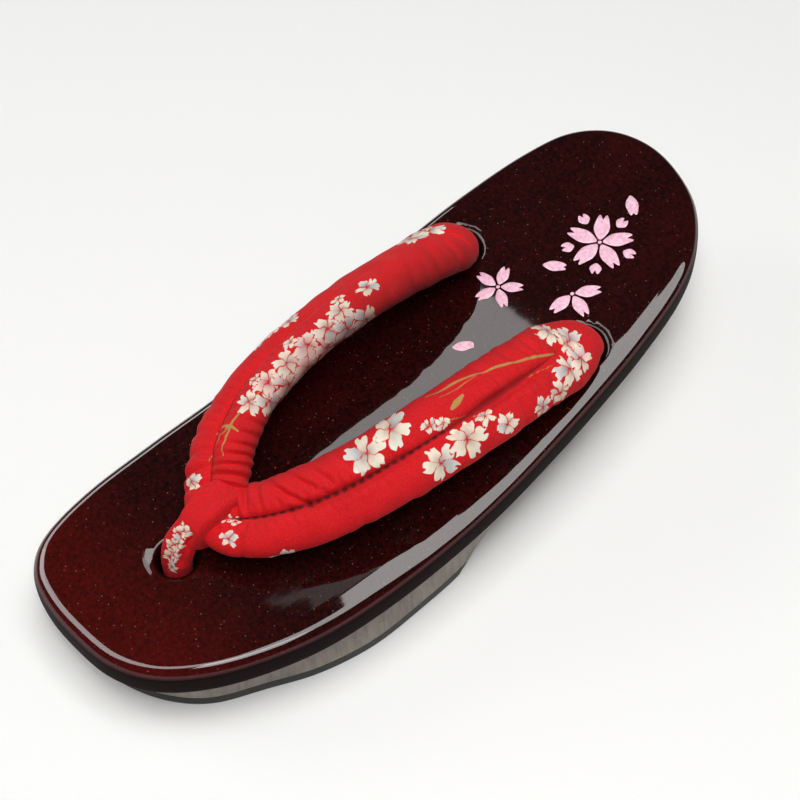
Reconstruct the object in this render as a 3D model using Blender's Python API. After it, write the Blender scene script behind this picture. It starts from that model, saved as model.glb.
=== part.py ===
"""A women's geta for the left foot: lacquered deck, carved lower body, rubber outsoles, padded cloth thong.

Metres, +Z up, toe toward -Y, wearer's left toward +X, standing on z = 0 with the origin under its middle.
"""
import math

import bpy
import numpy as np

MM = 0.001
FIT_GAP = 0.3 * MM

# Deck: slope and thickness
LENGTH = 240 * MM
TOE_HEIGHT = 27 * MM
HEEL_HEIGHT = 49 * MM
DECK_THICKNESS = 11 * MM
OUTLINE_POINTS = 88

# Deck outline, x and y in millimetres, from the toe tip along the outer side to the heel and back along the inner
DECK_OUTLINE = (
    (-13.0, -120.0),
    (2.0, -118.6),
    (14.5, -112.5),
    (24.8, -101.5),
    (33.2, -86.5),
    (39.6, -69.0),
    (43.2, -49.0),
    (45.0, -26.0),
    (45.0, -4.0),
    (43.4, 19.0),
    (41.0, 42.0),
    (37.8, 64.0),
    (32.8, 86.0),
    (25.2, 101.5),
    (12.0, 114.0),
    (-7.0, 120.0),
    (-23.0, 116.8),
    (-34.0, 106.0),
    (-39.0, 89.0),
    (-41.5, 66.0),
    (-42.3, 42.0),
    (-41.8, 5.0),
    (-42.0, -35.0),
    (-44.0, -64.0),
    (-45.0, -88.0),
    (-42.6, -106.0),
    (-36.0, -115.2),
    (-26.0, -119.0),
)
SPINE_ENDS = (-74 * MM, 76 * MM)  # insets run from the outline toward this stretch of the middle line

# Deck edge, from the underside round to the flat top. Columns: inset from the outline, rise from the rim plane
DECK_PROFILE = (
    (0.8 * MM, -11.0 * MM),
    (0.0 * MM, -10.2 * MM),
    (0.0 * MM, -4.2 * MM),
    (0.5 * MM, -2.4 * MM),
    (1.6 * MM, -1.0 * MM),
    (3.2 * MM, -0.3 * MM),
    (5.6 * MM, 0.0 * MM),
)

# Lower body: its outline on the floor, x and y in millimetres in the same order, narrower toward the heel
BODY_OUTLINE = (
    (-13.0, -114.8),
    (-1.0, -113.4),
    (11.5, -107.8),
    (21.5, -98.6),
    (29.0, -84.0),
    (36.0, -69.0),
    (40.2, -52.0),
    (41.0, -34.0),
    (40.4, -14.0),
    (36.0, 12.0),
    (29.5, 36.0),
    (24.5, 58.0),
    (21.8, 80.0),
    (16.0, 99.0),
    (5.0, 110.5),
    (-9.0, 114.2),
    (-22.0, 110.0),
    (-31.0, 98.5),
    (-35.2, 82.0),
    (-36.8, 60.0),
    (-37.8, 30.0),
    (-38.2, -5.0),
    (-39.2, -40.0),
    (-41.0, -70.0),
    (-41.0, -92.0),
    (-37.6, -106.5),
    (-27.0, -113.6),
)
BODY_TOP_INSET = {"medial": 2.0 * MM, "lateral": 5.2 * MM, "ends": 3.5 * MM}  # its top, in from the deck's outline
BODY_SHOULDER = 0.68             # share of its height above which its side is upright
BRIDGE_THICKNESS = 8 * MM
OUTSOLE_THICKNESS = 4 * MM
FRONT_BLOCK_END = -18 * MM       # rear edge of the front block on the floor
FRONT_BLOCK_TOP_END = 4 * MM     # the same where it meets the bridge
HEEL_BLOCK_START = 57 * MM
GAP_CORNER = 4 * MM              # size of the eased corners under the bridge
CUT_BELOW = -10 * MM             # how far drills and saw cuts run past the piece
CUT_ABOVE = 80 * MM

# Holes and the recess for the toe knot
TOE_HOLE = (-8 * MM, -84 * MM)
REAR_HOLE_X = 26.3 * MM
REAR_HOLE_Y = 48 * MM
TOE_HOLE_RADIUS = 5.4 * MM
REAR_HOLE_RADIUS = 6.5 * MM
RECESS_HALF_LENGTH = 11.5 * MM
RECESS_HALF_WIDTH = 10 * MM
RECESS_TOP = 12.5 * MM

# Straps. Each row is a section in millimetres and degrees, from the join over the toes back to the hole.
# Lift is above the rim plane, tilt turns the broad face outward, crease is a share of the crease's depth.
SECTION_COLUMNS = ("x", "y", "lift", "width", "thickness", "tilt", "crease")
MEDIAL_STRAP = (
    (-3.2, -75.0, 9.5, 7.0, 5.0, 5, 0.0),
    (-3.8, -72.8, 10.0, 14.0, 8.5, 8, 0.4),
    (-9.5, -66.5, 11.3, 20.0, 11.0, 14, 1.0),
    (-18.5, -55.5, 13.7, 22.5, 12.0, 24, 1.0),
    (-24.2, -41.0, 16.4, 23.5, 12.0, 32, 1.0),
    (-26.0, -23.0, 18.7, 24.0, 12.0, 35, 0.7),
    (-25.4, -4.0, 19.6, 24.5, 12.0, 35, 0.3),
    (-24.2, 12.0, 18.6, 25.0, 12.5, 34, 0.1),
    (-23.6, 27.0, 14.8, 24.5, 12.5, 30, 0.0),
    (-24.2, 38.0, 9.9, 23.0, 12.5, 20, 0.0),
    (-25.4, 45.1, 6.0, 16.5, 11.0, 6, 0.0),
    (-26.3, 47.3, -2.5, 9.0, 9.0, 0, 0.0),
    (-26.3, 47.3, -9.5, 9.0, 9.0, 0, 0.0),
)
LATERAL_STRAP = (
    (-7.8, -74.6, 9.5, 7.0, 5.0, -5, 0.0),
    (-5.5, -72.6, 10.0, 14.0, 8.5, -6, 0.4),
    (2.0, -67.5, 11.3, 20.5, 11.2, -14, 1.0),
    (10.0, -58.8, 14.0, 22.5, 12.0, -24, 1.0),
    (17.4, -45.3, 16.8, 23.0, 12.0, -32, 1.0),
    (23.0, -28.3, 19.3, 23.5, 12.0, -35, 1.0),
    (26.6, -10.3, 20.3, 24.0, 12.0, -36, 1.0),
    (28.4, 4.7, 19.8, 24.0, 12.0, -36, 1.0),
    (28.9, 20.7, 16.5, 23.5, 12.5, -32, 1.0),
    (28.4, 34.5, 11.2, 23.0, 12.5, -22, 0.6),
    (27.0, 44.8, 6.2, 16.5, 11.0, -6, 0.0),
    (26.3, 47.3, -2.5, 9.0, 9.0, 0, 0.0),
    (26.3, 47.3, -9.5, 9.0, 9.0, 0, 0.0),
)
STRAP_SECTION_POINTS = 20
STRAP_STATIONS = 34
CREASE_DEPTH = 2.6 * MM
CREASE_NARROWNESS = 2.4          # larger draws the crease in toward the middle line

# Toe loop: its post, from the knot below up to the join, and its band round the join
TOE_POST = (
    (-8.0, -84.0, -18.0, 7.5, 7.5, 0, 0.0),
    (-8.0, -84.0, -9.0, 8.6, 8.6, 0, 0.0),
    (-8.0, -84.0, -2.0, 9.6, 9.0, 0, 0.0),
    (-7.6, -82.8, 5.0, 10.2, 8.8, 0, 0.0),
    (-6.6, -79.4, 11.0, 9.0, 8.4, 0, 0.0),
    (-5.8, -74.5, 14.5, 9.5, 8.0, 0, 0.0),
)
TOE_POST_STATIONS = 14
TOE_POST_POINTS = 16
LOOP_CENTRE = (-5.7, -71.0, 10.0)
LOOP_RADII = (8.2 * MM, 6.4 * MM)
LOOP_WIDTH = {"top": 10.8 * MM, "front": 7.6 * MM}
LOOP_THICKNESS = 3.0 * MM
LOOP_LEAN = 12.0                 # degrees that the band leans back
LOOP_WIDEST = 35.0               # degrees past its rear, going over the top, where the band is widest
LOOP_EDGE = ((-0.5, 0.4), (-0.36, 1.0), (0.36, 1.0), (0.5, 0.4))  # place across the band, share of its thickness

# Knots: a thick roll of cord with one turn across its middle, two tails and a stem up into the hole
KNOT_LENGTH = 15 * MM
KNOT_RADIUS = 3.9 * MM
KNOT_PROFILE = (  # place along the knot, share of its radius
    (-0.5, 0.3),
    (-0.46, 0.62),
    (-0.38, 0.8),
    (-0.2, 0.84),
    (-0.16, 1.0),
    (0.16, 1.0),
    (0.2, 0.84),
    (0.38, 0.8),
    (0.46, 0.62),
    (0.5, 0.3),
)
TAIL_LENGTH = 11 * MM
TAIL_RADIUS = 1.7 * MM
TAIL_ANGLE = 32.0
TAIL_START = 0.32                # place of each tail's middle, as a share of its length
TAIL_PROFILE = ((-0.5, 0.5), (-0.45, 1.0), (0.45, 1.0), (0.5, 0.5))
STEM_RADIUS = 3.2 * MM

COLOURS = {
    "lacquer": (0.020, 0.004, 0.004, 1),
    "body": (0.21, 0.17, 0.15, 1),
    "rubber": (0.012, 0.014, 0.012, 1),
    "red_cloth": (0.71, 0.017, 0.022, 1),
    "cotton_cord": (0.60, 0.55, 0.47, 1),
}


def material(name, colour, roughness, coat=0.0):
    """A Principled BSDF with one colour."""
    made = bpy.data.materials.new(name)
    made.use_nodes = True
    shader = made.node_tree.nodes["Principled BSDF"]
    shader.inputs["Base Color"].default_value = colour
    shader.inputs["Roughness"].default_value = roughness
    shader.inputs["Coat Weight"].default_value = coat
    made.diffuse_color = colour
    return made


def rim_height(y):
    """Height of the deck's rim plane, which rises evenly from toe to heel."""
    return TOE_HEIGHT + (HEEL_HEIGHT - TOE_HEIGHT) * (np.asarray(y) / LENGTH + 0.5)


def resampled(closed, count):
    """Points evenly spaced along a closed line."""
    travelled = np.concatenate([[0], np.cumsum(np.linalg.norm(np.diff(closed, axis=0), axis=1))])
    wanted = np.linspace(0, travelled[-1], count, endpoint=False)
    return np.stack([np.interp(wanted, travelled, column) for column in closed.T], axis=1)


def catmull_rom(before, start, end, after, steps):
    """A stretch of the smooth curve through start and end, its slopes set by their neighbours."""
    step = np.linspace(0, 1, steps, endpoint=False)[:, None]
    return 0.5 * (2 * start + (end - before) * step
                  + (2 * before - 5 * start + 4 * end - after) * step ** 2
                  + (3 * start - before - 3 * end + after) * step ** 3)


def outline(rows, medial_inset=0.0, lateral_inset=0.0, end_inset=0.0):
    """Closed plan outline, counter-clockwise, moved toward the spine by the insets of its three directions."""
    table = np.array(rows) * MM
    count = len(table)
    dense = [catmull_rom(*(table[(index + shift) % count] for shift in (-1, 0, 1, 2)), 24) for index in range(count)]
    dense = np.concatenate(dense + [table[:1]])
    plan = resampled(dense, OUTLINE_POINTS)
    centre = np.column_stack([np.zeros(len(plan)), np.clip(plan[:, 1], *SPINE_ENDS)])
    away = plan - centre
    away /= np.linalg.norm(away, axis=1)[:, None]
    inset = (medial_inset * np.clip(-away[:, 0], 0, 1) ** 2 + lateral_inset * np.clip(away[:, 0], 0, 1) ** 2
             + end_inset * away[:, 1] ** 2)
    return plan - away * inset[:, None]


def ring_vertices(plan, height):
    """Lifts a plan outline to the given heights."""
    return np.column_stack([plan, np.broadcast_to(height, len(plan))])


def lofted(name, rings):
    """One closed solid through rings of equal count, counter-clockwise from above and lowest first."""
    count = len(rings[0])
    faces = [tuple(reversed(range(count)))]
    for level in range(len(rings) - 1):
        low = level * count
        for step in range(count):
            after = (step + 1) % count
            faces.append((low + step, low + after, low + count + after, low + count + step))
    faces.append(tuple(range((len(rings) - 1) * count, len(rings) * count)))
    mesh = bpy.data.meshes.new(name)
    mesh.from_pydata(np.concatenate(rings).tolist(), [], faces)
    mesh.update()
    made = bpy.data.objects.new(name, mesh)
    bpy.context.scene.collection.objects.link(made)
    return made


def boolean(target, cutter, operation="DIFFERENCE"):
    """Applies an exact Boolean and drops the cutter."""
    step = target.modifiers.new(operation.title(), "BOOLEAN")
    step.operation = operation
    step.solver = "EXACT"
    step.object = cutter
    graph = bpy.context.evaluated_depsgraph_get()
    mesh = bpy.data.meshes.new_from_object(target.evaluated_get(graph))
    target.modifiers.clear()
    target.data = mesh
    bpy.data.objects.remove(cutter)


def finish(made, look, sharp_angle=35):
    """Gives a piece its material and smooth shading with sharp edges kept."""
    made.data.materials.clear()
    made.data.materials.append(look)
    made.data.shade_smooth()
    made.data.set_sharp_from_angle(angle=math.radians(sharp_angle))


def upright_tube(name, centre, radii, low, high, count=24):
    """An upright elliptic cylinder, used as a drill."""
    turn = np.linspace(0, 2 * math.pi, count, endpoint=False)
    plan = np.stack([centre[0] + radii[0] * np.cos(turn), centre[1] + radii[1] * np.sin(turn)], axis=1)
    return lofted(name, [ring_vertices(plan, low), ring_vertices(plan, high)])


def drill_holes(target):
    """Drills the toe hole and the two rear holes right through."""
    for centre, radius in (
        (TOE_HOLE, TOE_HOLE_RADIUS),
        ((-REAR_HOLE_X, REAR_HOLE_Y), REAR_HOLE_RADIUS),
        ((REAR_HOLE_X, REAR_HOLE_Y), REAR_HOLE_RADIUS),
    ):
        boolean(target, upright_tube("drill", centre, (radius, radius), CUT_BELOW, CUT_ABOVE))


def build_deck(look):
    """The lacquered plate: side, rounded rim and flat top in one loft, then drilled."""
    rings = []
    for inset, rise in DECK_PROFILE:
        plan = outline(DECK_OUTLINE, inset, inset, inset)
        rings.append(ring_vertices(plan, rim_height(plan[:, 1]) + rise))
    deck = lofted("deck", rings)
    drill_holes(deck)
    finish(deck, look)
    return deck


def bridge_underside(y):
    """Height of the arch gap's roof."""
    return float(rim_height(y)) - DECK_THICKNESS - FIT_GAP - BRIDGE_THICKNESS


def front_block_lean():
    """How far the front block's rear face runs back for each unit of height."""
    return (FRONT_BLOCK_TOP_END - FRONT_BLOCK_END) / bridge_underside(FRONT_BLOCK_TOP_END)


def gap_cutter():
    """The arch gap as a prism across the sandal: sloped in front, upright behind, roofed by the bridge."""
    lean = front_block_lean()
    front = FRONT_BLOCK_TOP_END
    front_roof = bridge_underside(front)
    rear_roof = bridge_underside(HEEL_BLOCK_START)
    eased = GAP_CORNER * 0.3
    side = (
        (FRONT_BLOCK_END + lean * CUT_BELOW, CUT_BELOW),
        (HEEL_BLOCK_START, CUT_BELOW),
        (HEEL_BLOCK_START, rear_roof - GAP_CORNER),
        (HEEL_BLOCK_START - eased, rear_roof - eased),
        (HEEL_BLOCK_START - GAP_CORNER, rear_roof),
        (front + GAP_CORNER, front_roof),
        (front - lean * eased, front_roof - eased),
        (front - lean * GAP_CORNER, front_roof - GAP_CORNER),
    )
    rings = [np.array([(x, y, z) for y, z in side]) for x in (-CUT_ABOVE, CUT_ABOVE)]
    return lofted("gap", rings)


def build_underbody(look):
    """The carved lower body: a loft, upright above its shoulder, with the gap sawn out, holes drilled, recess cut."""
    floor = OUTSOLE_THICKNESS + FIT_GAP
    top = outline(DECK_OUTLINE, *BODY_TOP_INSET.values())
    roof = rim_height(top[:, 1]) - DECK_THICKNESS - FIT_GAP
    shoulder = floor + (roof - floor) * BODY_SHOULDER
    rings = [ring_vertices(outline(BODY_OUTLINE), floor), ring_vertices(top, shoulder), ring_vertices(top, roof)]
    body = lofted("underbody", rings)
    boolean(body, gap_cutter())
    drill_holes(body)
    boolean(body, recess_cutter())
    finish(body, look)
    return body


def recess_cutter():
    """The oval recess for the toe knot, open at the floor."""
    radii = (RECESS_HALF_WIDTH, RECESS_HALF_LENGTH)
    return upright_tube("recess", TOE_HOLE, radii, CUT_BELOW, RECESS_TOP, count=28)


def build_outsole(name, front, look):
    """One rubber sheet, flush with the foot of its block."""
    plan = outline(BODY_OUTLINE)
    sheet = lofted(name, [ring_vertices(plan, 0.0), ring_vertices(plan, OUTSOLE_THICKNESS)])
    low, high, lean = (FRONT_BLOCK_END, LENGTH, front_block_lean()) if front else (-LENGTH, HEEL_BLOCK_START, 0.0)
    rings = []
    for height in (CUT_BELOW, -CUT_BELOW):
        cut = low + lean * height
        corners = ((-LENGTH, cut), (LENGTH, cut), (LENGTH, high), (-LENGTH, high))
        rings.append(ring_vertices(np.array(corners), height))
    boolean(sheet, lofted("trim", rings))
    if front:
        boolean(sheet, recess_cutter())
    finish(sheet, look)
    return sheet


def smooth_rows(rows, count):
    """Reads a table of sections as one smooth curve, evenly spaced."""
    table = np.array(rows, dtype=float)
    padded = np.concatenate([2 * table[:1] - table[1:2], table, 2 * table[-1:] - table[-2:-1]])
    fine = [catmull_rom(*padded[index:index + 4], 24) for index in range(len(table) - 1)]
    fine = np.concatenate(fine + [table[-1:]])
    travelled = np.concatenate([[0], np.cumsum(np.linalg.norm(np.diff(fine[:, :3], axis=0), axis=1))])
    wanted = np.linspace(0, travelled[-1], count)
    return np.stack([np.interp(wanted, travelled, column) for column in fine.T], axis=1)


def path_frames(points, first_up):
    """Side and up directions along a path, the up direction carried along without twist."""
    tangents = np.gradient(points, axis=0)
    tangents /= np.linalg.norm(tangents, axis=1)[:, None]
    up = np.array(first_up, dtype=float)
    ups = []
    for tangent in tangents:
        up = up - tangent * (up @ tangent)
        up /= np.linalg.norm(up)
        ups.append(up)
    ups = np.array(ups)
    return np.cross(tangents, ups), ups


def swept(name, rows, count, section_points, extra=0.0, first_up=(0, 0, 1)):
    """A padded tube: a flat oval with a soft crease along its upper face, carried along a table's curve."""
    column = dict(zip(SECTION_COLUMNS, smooth_rows(rows, count).T))
    points = np.stack([column["x"], column["y"], column["lift"]], axis=1) * MM
    points[:, 2] += rim_height(points[:, 1])
    sides, ups = path_frames(points, first_up)
    lean = np.radians(column["tilt"])[:, None]
    broad = sides * np.cos(lean) + ups * np.sin(lean)
    upper = ups * np.cos(lean) - sides * np.sin(lean)
    turn = np.linspace(0, 2 * math.pi, section_points, endpoint=False) + math.pi / 2
    across = np.cos(turn) * (column["width"][:, None] * MM / 2 + extra)
    over = np.sin(turn) * (column["thickness"][:, None] * MM / 2 + extra)
    trough = np.exp(-(CREASE_NARROWNESS * np.cos(turn)) ** 2) * (np.sin(turn) > 0)
    over = over - column["crease"][:, None] * CREASE_DEPTH * trough
    surface = points[:, None, :] + across[..., None] * broad[:, None, :] + over[..., None] * upper[:, None, :]
    return lofted(name, list(surface))


def build_straps(look, name="straps", extra=0.0):
    """Both padded tubes of the thong, joined over the toes."""
    straps = swept(name, MEDIAL_STRAP, STRAP_STATIONS, STRAP_SECTION_POINTS, extra)
    boolean(straps, swept("lateral", LATERAL_STRAP, STRAP_STATIONS, STRAP_SECTION_POINTS, extra), "UNION")
    finish(straps, look, 60)
    return straps


def build_toe_loop(look):
    """The loop's post and its band round the join, hollowed to clear the straps."""
    loop = swept("toe_loop", TOE_POST, TOE_POST_STATIONS, TOE_POST_POINTS, first_up=(0, -1, 0))
    centre = np.array(LOOP_CENTRE) * MM
    centre[2] += float(rim_height(centre[1]))
    turn = np.linspace(0, 2 * math.pi, 28, endpoint=False)
    lean = math.radians(LOOP_LEAN)
    along = np.array([1.0, 0.0, 0.0])
    rearward = np.array([0.0, math.cos(lean), math.sin(lean)])
    upward = np.cross(along, rearward)
    middle = (LOOP_WIDTH["top"] + LOOP_WIDTH["front"]) / 2
    widths = middle + (LOOP_WIDTH["top"] - middle) * np.sin(turn + math.radians(LOOP_WIDEST))
    rings = []
    for across, share in LOOP_EDGE:
        rear_radius, top_radius = np.array(LOOP_RADII) + LOOP_THICKNESS * share
        circle = np.cos(turn)[:, None] * rear_radius * rearward + np.sin(turn)[:, None] * top_radius * upward
        rings.append(centre + along * (across * widths)[:, None] + circle)
    boolean(loop, lofted("band", rings), "UNION")
    boolean(loop, build_straps(look, "clearance", FIT_GAP))
    finish(loop, look, 60)
    return loop


def roll(name, centre, heading, length, radius, profile, count=12):
    """A short roll of cord lying flat, turned from a profile of places along it and shares of its radius."""
    turn = np.linspace(0, 2 * math.pi, count, endpoint=False)
    along = np.array((math.cos(heading), math.sin(heading), 0.0))
    side = np.array((-along[1], along[0], 0.0))
    upward = np.array((0.0, 0.0, 1.0))
    circle = np.cos(turn)[:, None] * side + np.sin(turn)[:, None] * upward
    rings = [np.array(centre) + along * place * length + circle * radius * share for place, share in profile]
    return lofted(name, rings)


def build_knot(name, hole, roof, stem_top, look):
    """A plain flat knot under a hole, with its stem up to the end of the strap or post."""
    centre = (hole[0], hole[1], roof - FIT_GAP - KNOT_RADIUS)
    knot = roll(name, centre, 0.0, KNOT_LENGTH, KNOT_RADIUS, KNOT_PROFILE, 14)
    for side in (-1, 1):
        place = (centre[0] + side * TAIL_LENGTH * TAIL_START, centre[1] - TAIL_RADIUS, centre[2] - TAIL_RADIUS * 1.1)
        heading = math.radians(side * TAIL_ANGLE)
        boolean(knot, roll("tail", place, heading, TAIL_LENGTH, TAIL_RADIUS, TAIL_PROFILE, 9), "UNION")
    boolean(knot, upright_tube("stem", hole, (STEM_RADIUS, STEM_RADIUS), centre[2], stem_top, count=16), "UNION")
    finish(knot, look, 60)


def row_end(row):
    """Plan place and height of a section row's middle."""
    x, y, lift = np.array(row[:3]) * MM
    return (x, y), float(rim_height(y)) + lift


def build_knots(look):
    """The knot in the recess and the two behind the arch gap."""
    hole, post_foot = row_end(TOE_POST[0])
    build_knot("toe_knot", hole, RECESS_TOP, post_foot - FIT_GAP, look)
    for side, row in (("medial", MEDIAL_STRAP[-1]), ("lateral", LATERAL_STRAP[-1])):
        hole, strap_foot = row_end(row)
        build_knot("tie_knot_" + side, hole, bridge_underside(hole[1] - KNOT_LENGTH / 2), strap_foot - FIT_GAP, look)


def main():
    """Builds every piece."""
    for old in list(bpy.data.objects):
        bpy.data.objects.remove(old)
    lacquer = material("lacquered wood", COLOURS["lacquer"], 0.12, 1.0)
    body = material("satin body", COLOURS["body"], 0.55)
    rubber = material("rubber", COLOURS["rubber"], 0.8)
    cloth = material("red crepe cotton", COLOURS["red_cloth"], 0.85)
    cotton = material("cotton cord", COLOURS["cotton_cord"], 0.9)
    build_deck(lacquer)
    build_underbody(body)
    build_outsole("front_outsole", True, rubber)
    build_outsole("heel_outsole", False, rubber)
    build_straps(cloth)
    build_toe_loop(cloth)
    build_knots(cotton)


main()
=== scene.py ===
"""A women's geta for the left foot: lacquered deck with painted blossoms, carved body, padded thong.

Metres, +Z up, toe toward -Y, outer side +X. Tables hold millimetres and degrees.
"""
import math

import bmesh
import bpy
import numpy as np
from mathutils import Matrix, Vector


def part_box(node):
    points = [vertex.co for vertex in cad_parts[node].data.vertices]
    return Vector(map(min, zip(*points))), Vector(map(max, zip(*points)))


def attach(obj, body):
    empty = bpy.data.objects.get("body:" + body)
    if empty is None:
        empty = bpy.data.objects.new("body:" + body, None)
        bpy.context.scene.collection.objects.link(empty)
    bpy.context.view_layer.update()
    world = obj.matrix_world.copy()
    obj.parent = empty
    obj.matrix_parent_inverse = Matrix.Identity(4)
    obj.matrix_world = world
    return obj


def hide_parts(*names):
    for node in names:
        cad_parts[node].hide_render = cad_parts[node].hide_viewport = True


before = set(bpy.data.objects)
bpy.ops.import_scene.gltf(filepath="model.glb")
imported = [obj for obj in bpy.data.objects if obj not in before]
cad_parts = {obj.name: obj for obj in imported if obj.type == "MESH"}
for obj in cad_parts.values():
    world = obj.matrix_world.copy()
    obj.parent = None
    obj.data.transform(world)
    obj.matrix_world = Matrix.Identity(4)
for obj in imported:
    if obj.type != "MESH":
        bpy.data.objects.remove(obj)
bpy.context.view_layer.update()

MM = 0.001
FIT_GAP = 0.3 * MM
CURVE_STEPS = 40

# Deck
LENGTH = 240 * MM
TOE_HEIGHT = 27 * MM
HEEL_HEIGHT = 49 * MM
DECK_THICKNESS = 11 * MM
DECK_OUTLINE = (  # x, y, from the toe tip along the outer side to the heel and back along the inner side
    (-13.0, -120.0),
    (2.0, -118.6),
    (14.5, -112.5),
    (24.8, -101.5),
    (33.2, -86.5),
    (39.6, -69.0),
    (43.2, -49.0),
    (45.0, -26.0),
    (45.0, -4.0),
    (43.4, 19.0),
    (41.0, 42.0),
    (37.8, 64.0),
    (32.8, 86.0),
    (25.2, 101.5),
    (12.0, 114.0),
    (-7.0, 120.0),
    (-23.0, 116.8),
    (-34.0, 106.0),
    (-39.0, 89.0),
    (-41.5, 66.0),
    (-42.3, 42.0),
    (-41.8, 5.0),
    (-42.0, -35.0),
    (-44.0, -64.0),
    (-45.0, -88.0),
    (-42.6, -106.0),
    (-36.0, -115.2),
    (-26.0, -119.0),
)
SPINE_ENDS = (-74 * MM, 76 * MM)
SPINE_REACH = 0.97               # share of the way to the spine that the deck's flats are drawn in
FLAT_RINGS = 14
DECK_PROFILE = (  # inset from the outline, rise from the rim plane
    (0.8, -11.0),
    (0.0, -10.2),
    (0.0, -4.2),
    (0.5, -2.4),
    (1.6, -1.0),
    (3.2, -0.3),
    (5.6, 0.0),
)
ARRIS = (0.5, -2.4)              # the outer edge, where the lacquer is rubbed thin
FAR = 30.0                       # stands for well away from the edge
SATIN_FROM = -2.2 * MM           # below this rise the side is left unpolished and its colour darkened toward black, as painted shade
SATIN_FADE = 1.2 * MM
RED_TOE = (-112 * MM, -70 * MM)  # the lacquer is thinner and redder toward the toe
OUTLINE_STEPS = 420
PROFILE_STEPS = 6                # rings between two rows of the profile

# Holes, the eased edge round each, and the recess for the toe knot
HOLES = (  # x, y, radius
    (-8.0, -84.0, 5.4),
    (-26.3, 48.0, 6.5),
    (26.3, 48.0, 6.5),
)
HOLE_EASE = 2.2 * MM
HOLE_FLARE = ((-1.0, 0.0), (-0.35, 0.3), (0.1, 1.1))  # rise and growth at the surface, as shares of the ease
RECESS = {"half_width": 10 * MM, "half_length": 11.5 * MM, "top": 12.5 * MM}
CUT_BELOW = -10 * MM
CUT_ABOVE = 80 * MM

# Lower body and outsoles
BODY_OUTLINE = (  # x, y on the floor, in the same order as the deck's
    (-13.0, -114.8),
    (-1.0, -113.4),
    (11.5, -107.8),
    (21.5, -98.6),
    (29.0, -84.0),
    (36.0, -69.0),
    (40.2, -52.0),
    (41.0, -34.0),
    (40.4, -14.0),
    (36.0, 12.0),
    (29.5, 36.0),
    (24.5, 58.0),
    (21.8, 80.0),
    (16.0, 99.0),
    (5.0, 110.5),
    (-9.0, 114.2),
    (-22.0, 110.0),
    (-31.0, 98.5),
    (-35.2, 82.0),
    (-36.8, 60.0),
    (-37.8, 30.0),
    (-38.2, -5.0),
    (-39.2, -40.0),
    (-41.0, -70.0),
    (-41.0, -92.0),
    (-37.6, -106.5),
    (-27.0, -113.6),
)
BODY_TOP_INSET = {"medial": 2.0 * MM, "lateral": 5.2 * MM, "ends": 3.5 * MM}
BODY_SHOULDER = 0.68             # share of the height at which the body has swollen to its top outline
BODY_RINGS = 25
BRIDGE_THICKNESS = 8 * MM
OUTSOLE_THICKNESS = 4 * MM
OUTSOLE_PROFILE = ((0.5, 0.0), (0.12, 0.2), (0.0, 0.6), (0.0, 4.0))  # inset, height
FRONT_BLOCK_END = -18 * MM
FRONT_BLOCK_TOP_END = 4 * MM
HEEL_BLOCK_START = 57 * MM
GAP_CORNER = 4 * MM

# Straps: sections from the join over the toes back to the hole. Lift is above the rim plane. Crease is the
# share of its full depth that the trough along the top has.
SECTION_COLUMNS = ("x", "y", "lift", "width", "thickness", "tilt", "crease")
MEDIAL_STRAP = (
    (-3.2, -75.0, 9.5, 7.0, 5.0, 5, 0.0),
    (-3.8, -72.8, 10.0, 14.0, 8.5, 8, 0.4),
    (-9.5, -66.5, 11.3, 20.0, 11.0, 14, 1.0),
    (-18.5, -55.5, 13.7, 22.5, 12.0, 24, 1.0),
    (-24.2, -41.0, 16.4, 23.5, 12.0, 32, 1.0),
    (-26.0, -23.0, 18.7, 24.0, 12.0, 35, 0.7),
    (-25.4, -4.0, 19.6, 24.5, 12.0, 35, 0.3),
    (-24.2, 12.0, 18.6, 25.0, 12.5, 34, 0.1),
    (-23.6, 27.0, 14.8, 24.5, 12.5, 30, 0.0),
    (-24.2, 38.0, 9.9, 23.0, 12.5, 20, 0.0),
    (-25.4, 45.1, 6.0, 16.5, 11.0, 6, 0.0),
    (-26.3, 47.3, -2.5, 9.0, 9.0, 0, 0.0),
    (-26.3, 47.3, -9.5, 9.0, 9.0, 0, 0.0),
)
LATERAL_STRAP = (
    (-7.8, -74.6, 9.5, 7.0, 5.0, -5, 0.0),
    (-5.5, -72.6, 10.0, 14.0, 8.5, -6, 0.4),
    (2.0, -67.5, 11.3, 20.5, 11.2, -14, 1.0),
    (10.0, -58.8, 14.0, 22.5, 12.0, -24, 1.0),
    (17.4, -45.3, 16.8, 23.0, 12.0, -32, 1.0),
    (23.0, -28.3, 19.3, 23.5, 12.0, -35, 1.0),
    (26.6, -10.3, 20.3, 24.0, 12.0, -36, 1.0),
    (28.4, 4.7, 19.8, 24.0, 12.0, -36, 1.0),
    (28.9, 20.7, 16.5, 23.5, 12.5, -32, 1.0),
    (28.4, 34.5, 11.2, 23.0, 12.5, -22, 0.6),
    (27.0, 44.8, 6.2, 16.5, 11.0, -6, 0.0),
    (26.3, 47.3, -2.5, 9.0, 9.0, 0, 0.0),
    (26.3, 47.3, -9.5, 9.0, 9.0, 0, 0.0),
)
STRAP_STATIONS = 520
STRAP_AROUND = 180
CREASE_DEPTH = 2.8 * MM
# The trough is a broad dip with a narrow slit in it: shares of its depth, and of the strap's half width
TROUGH = {"dip": 0.45, "dip_reach": 1 / 2.4, "slit": 0.55, "slit_reach": 0.10}
PUCKER = {"depth": 0.22 * MM, "from_seam": 3.2, "width": 1.8}  # the stitches' pull on the cloth beside them

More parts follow.
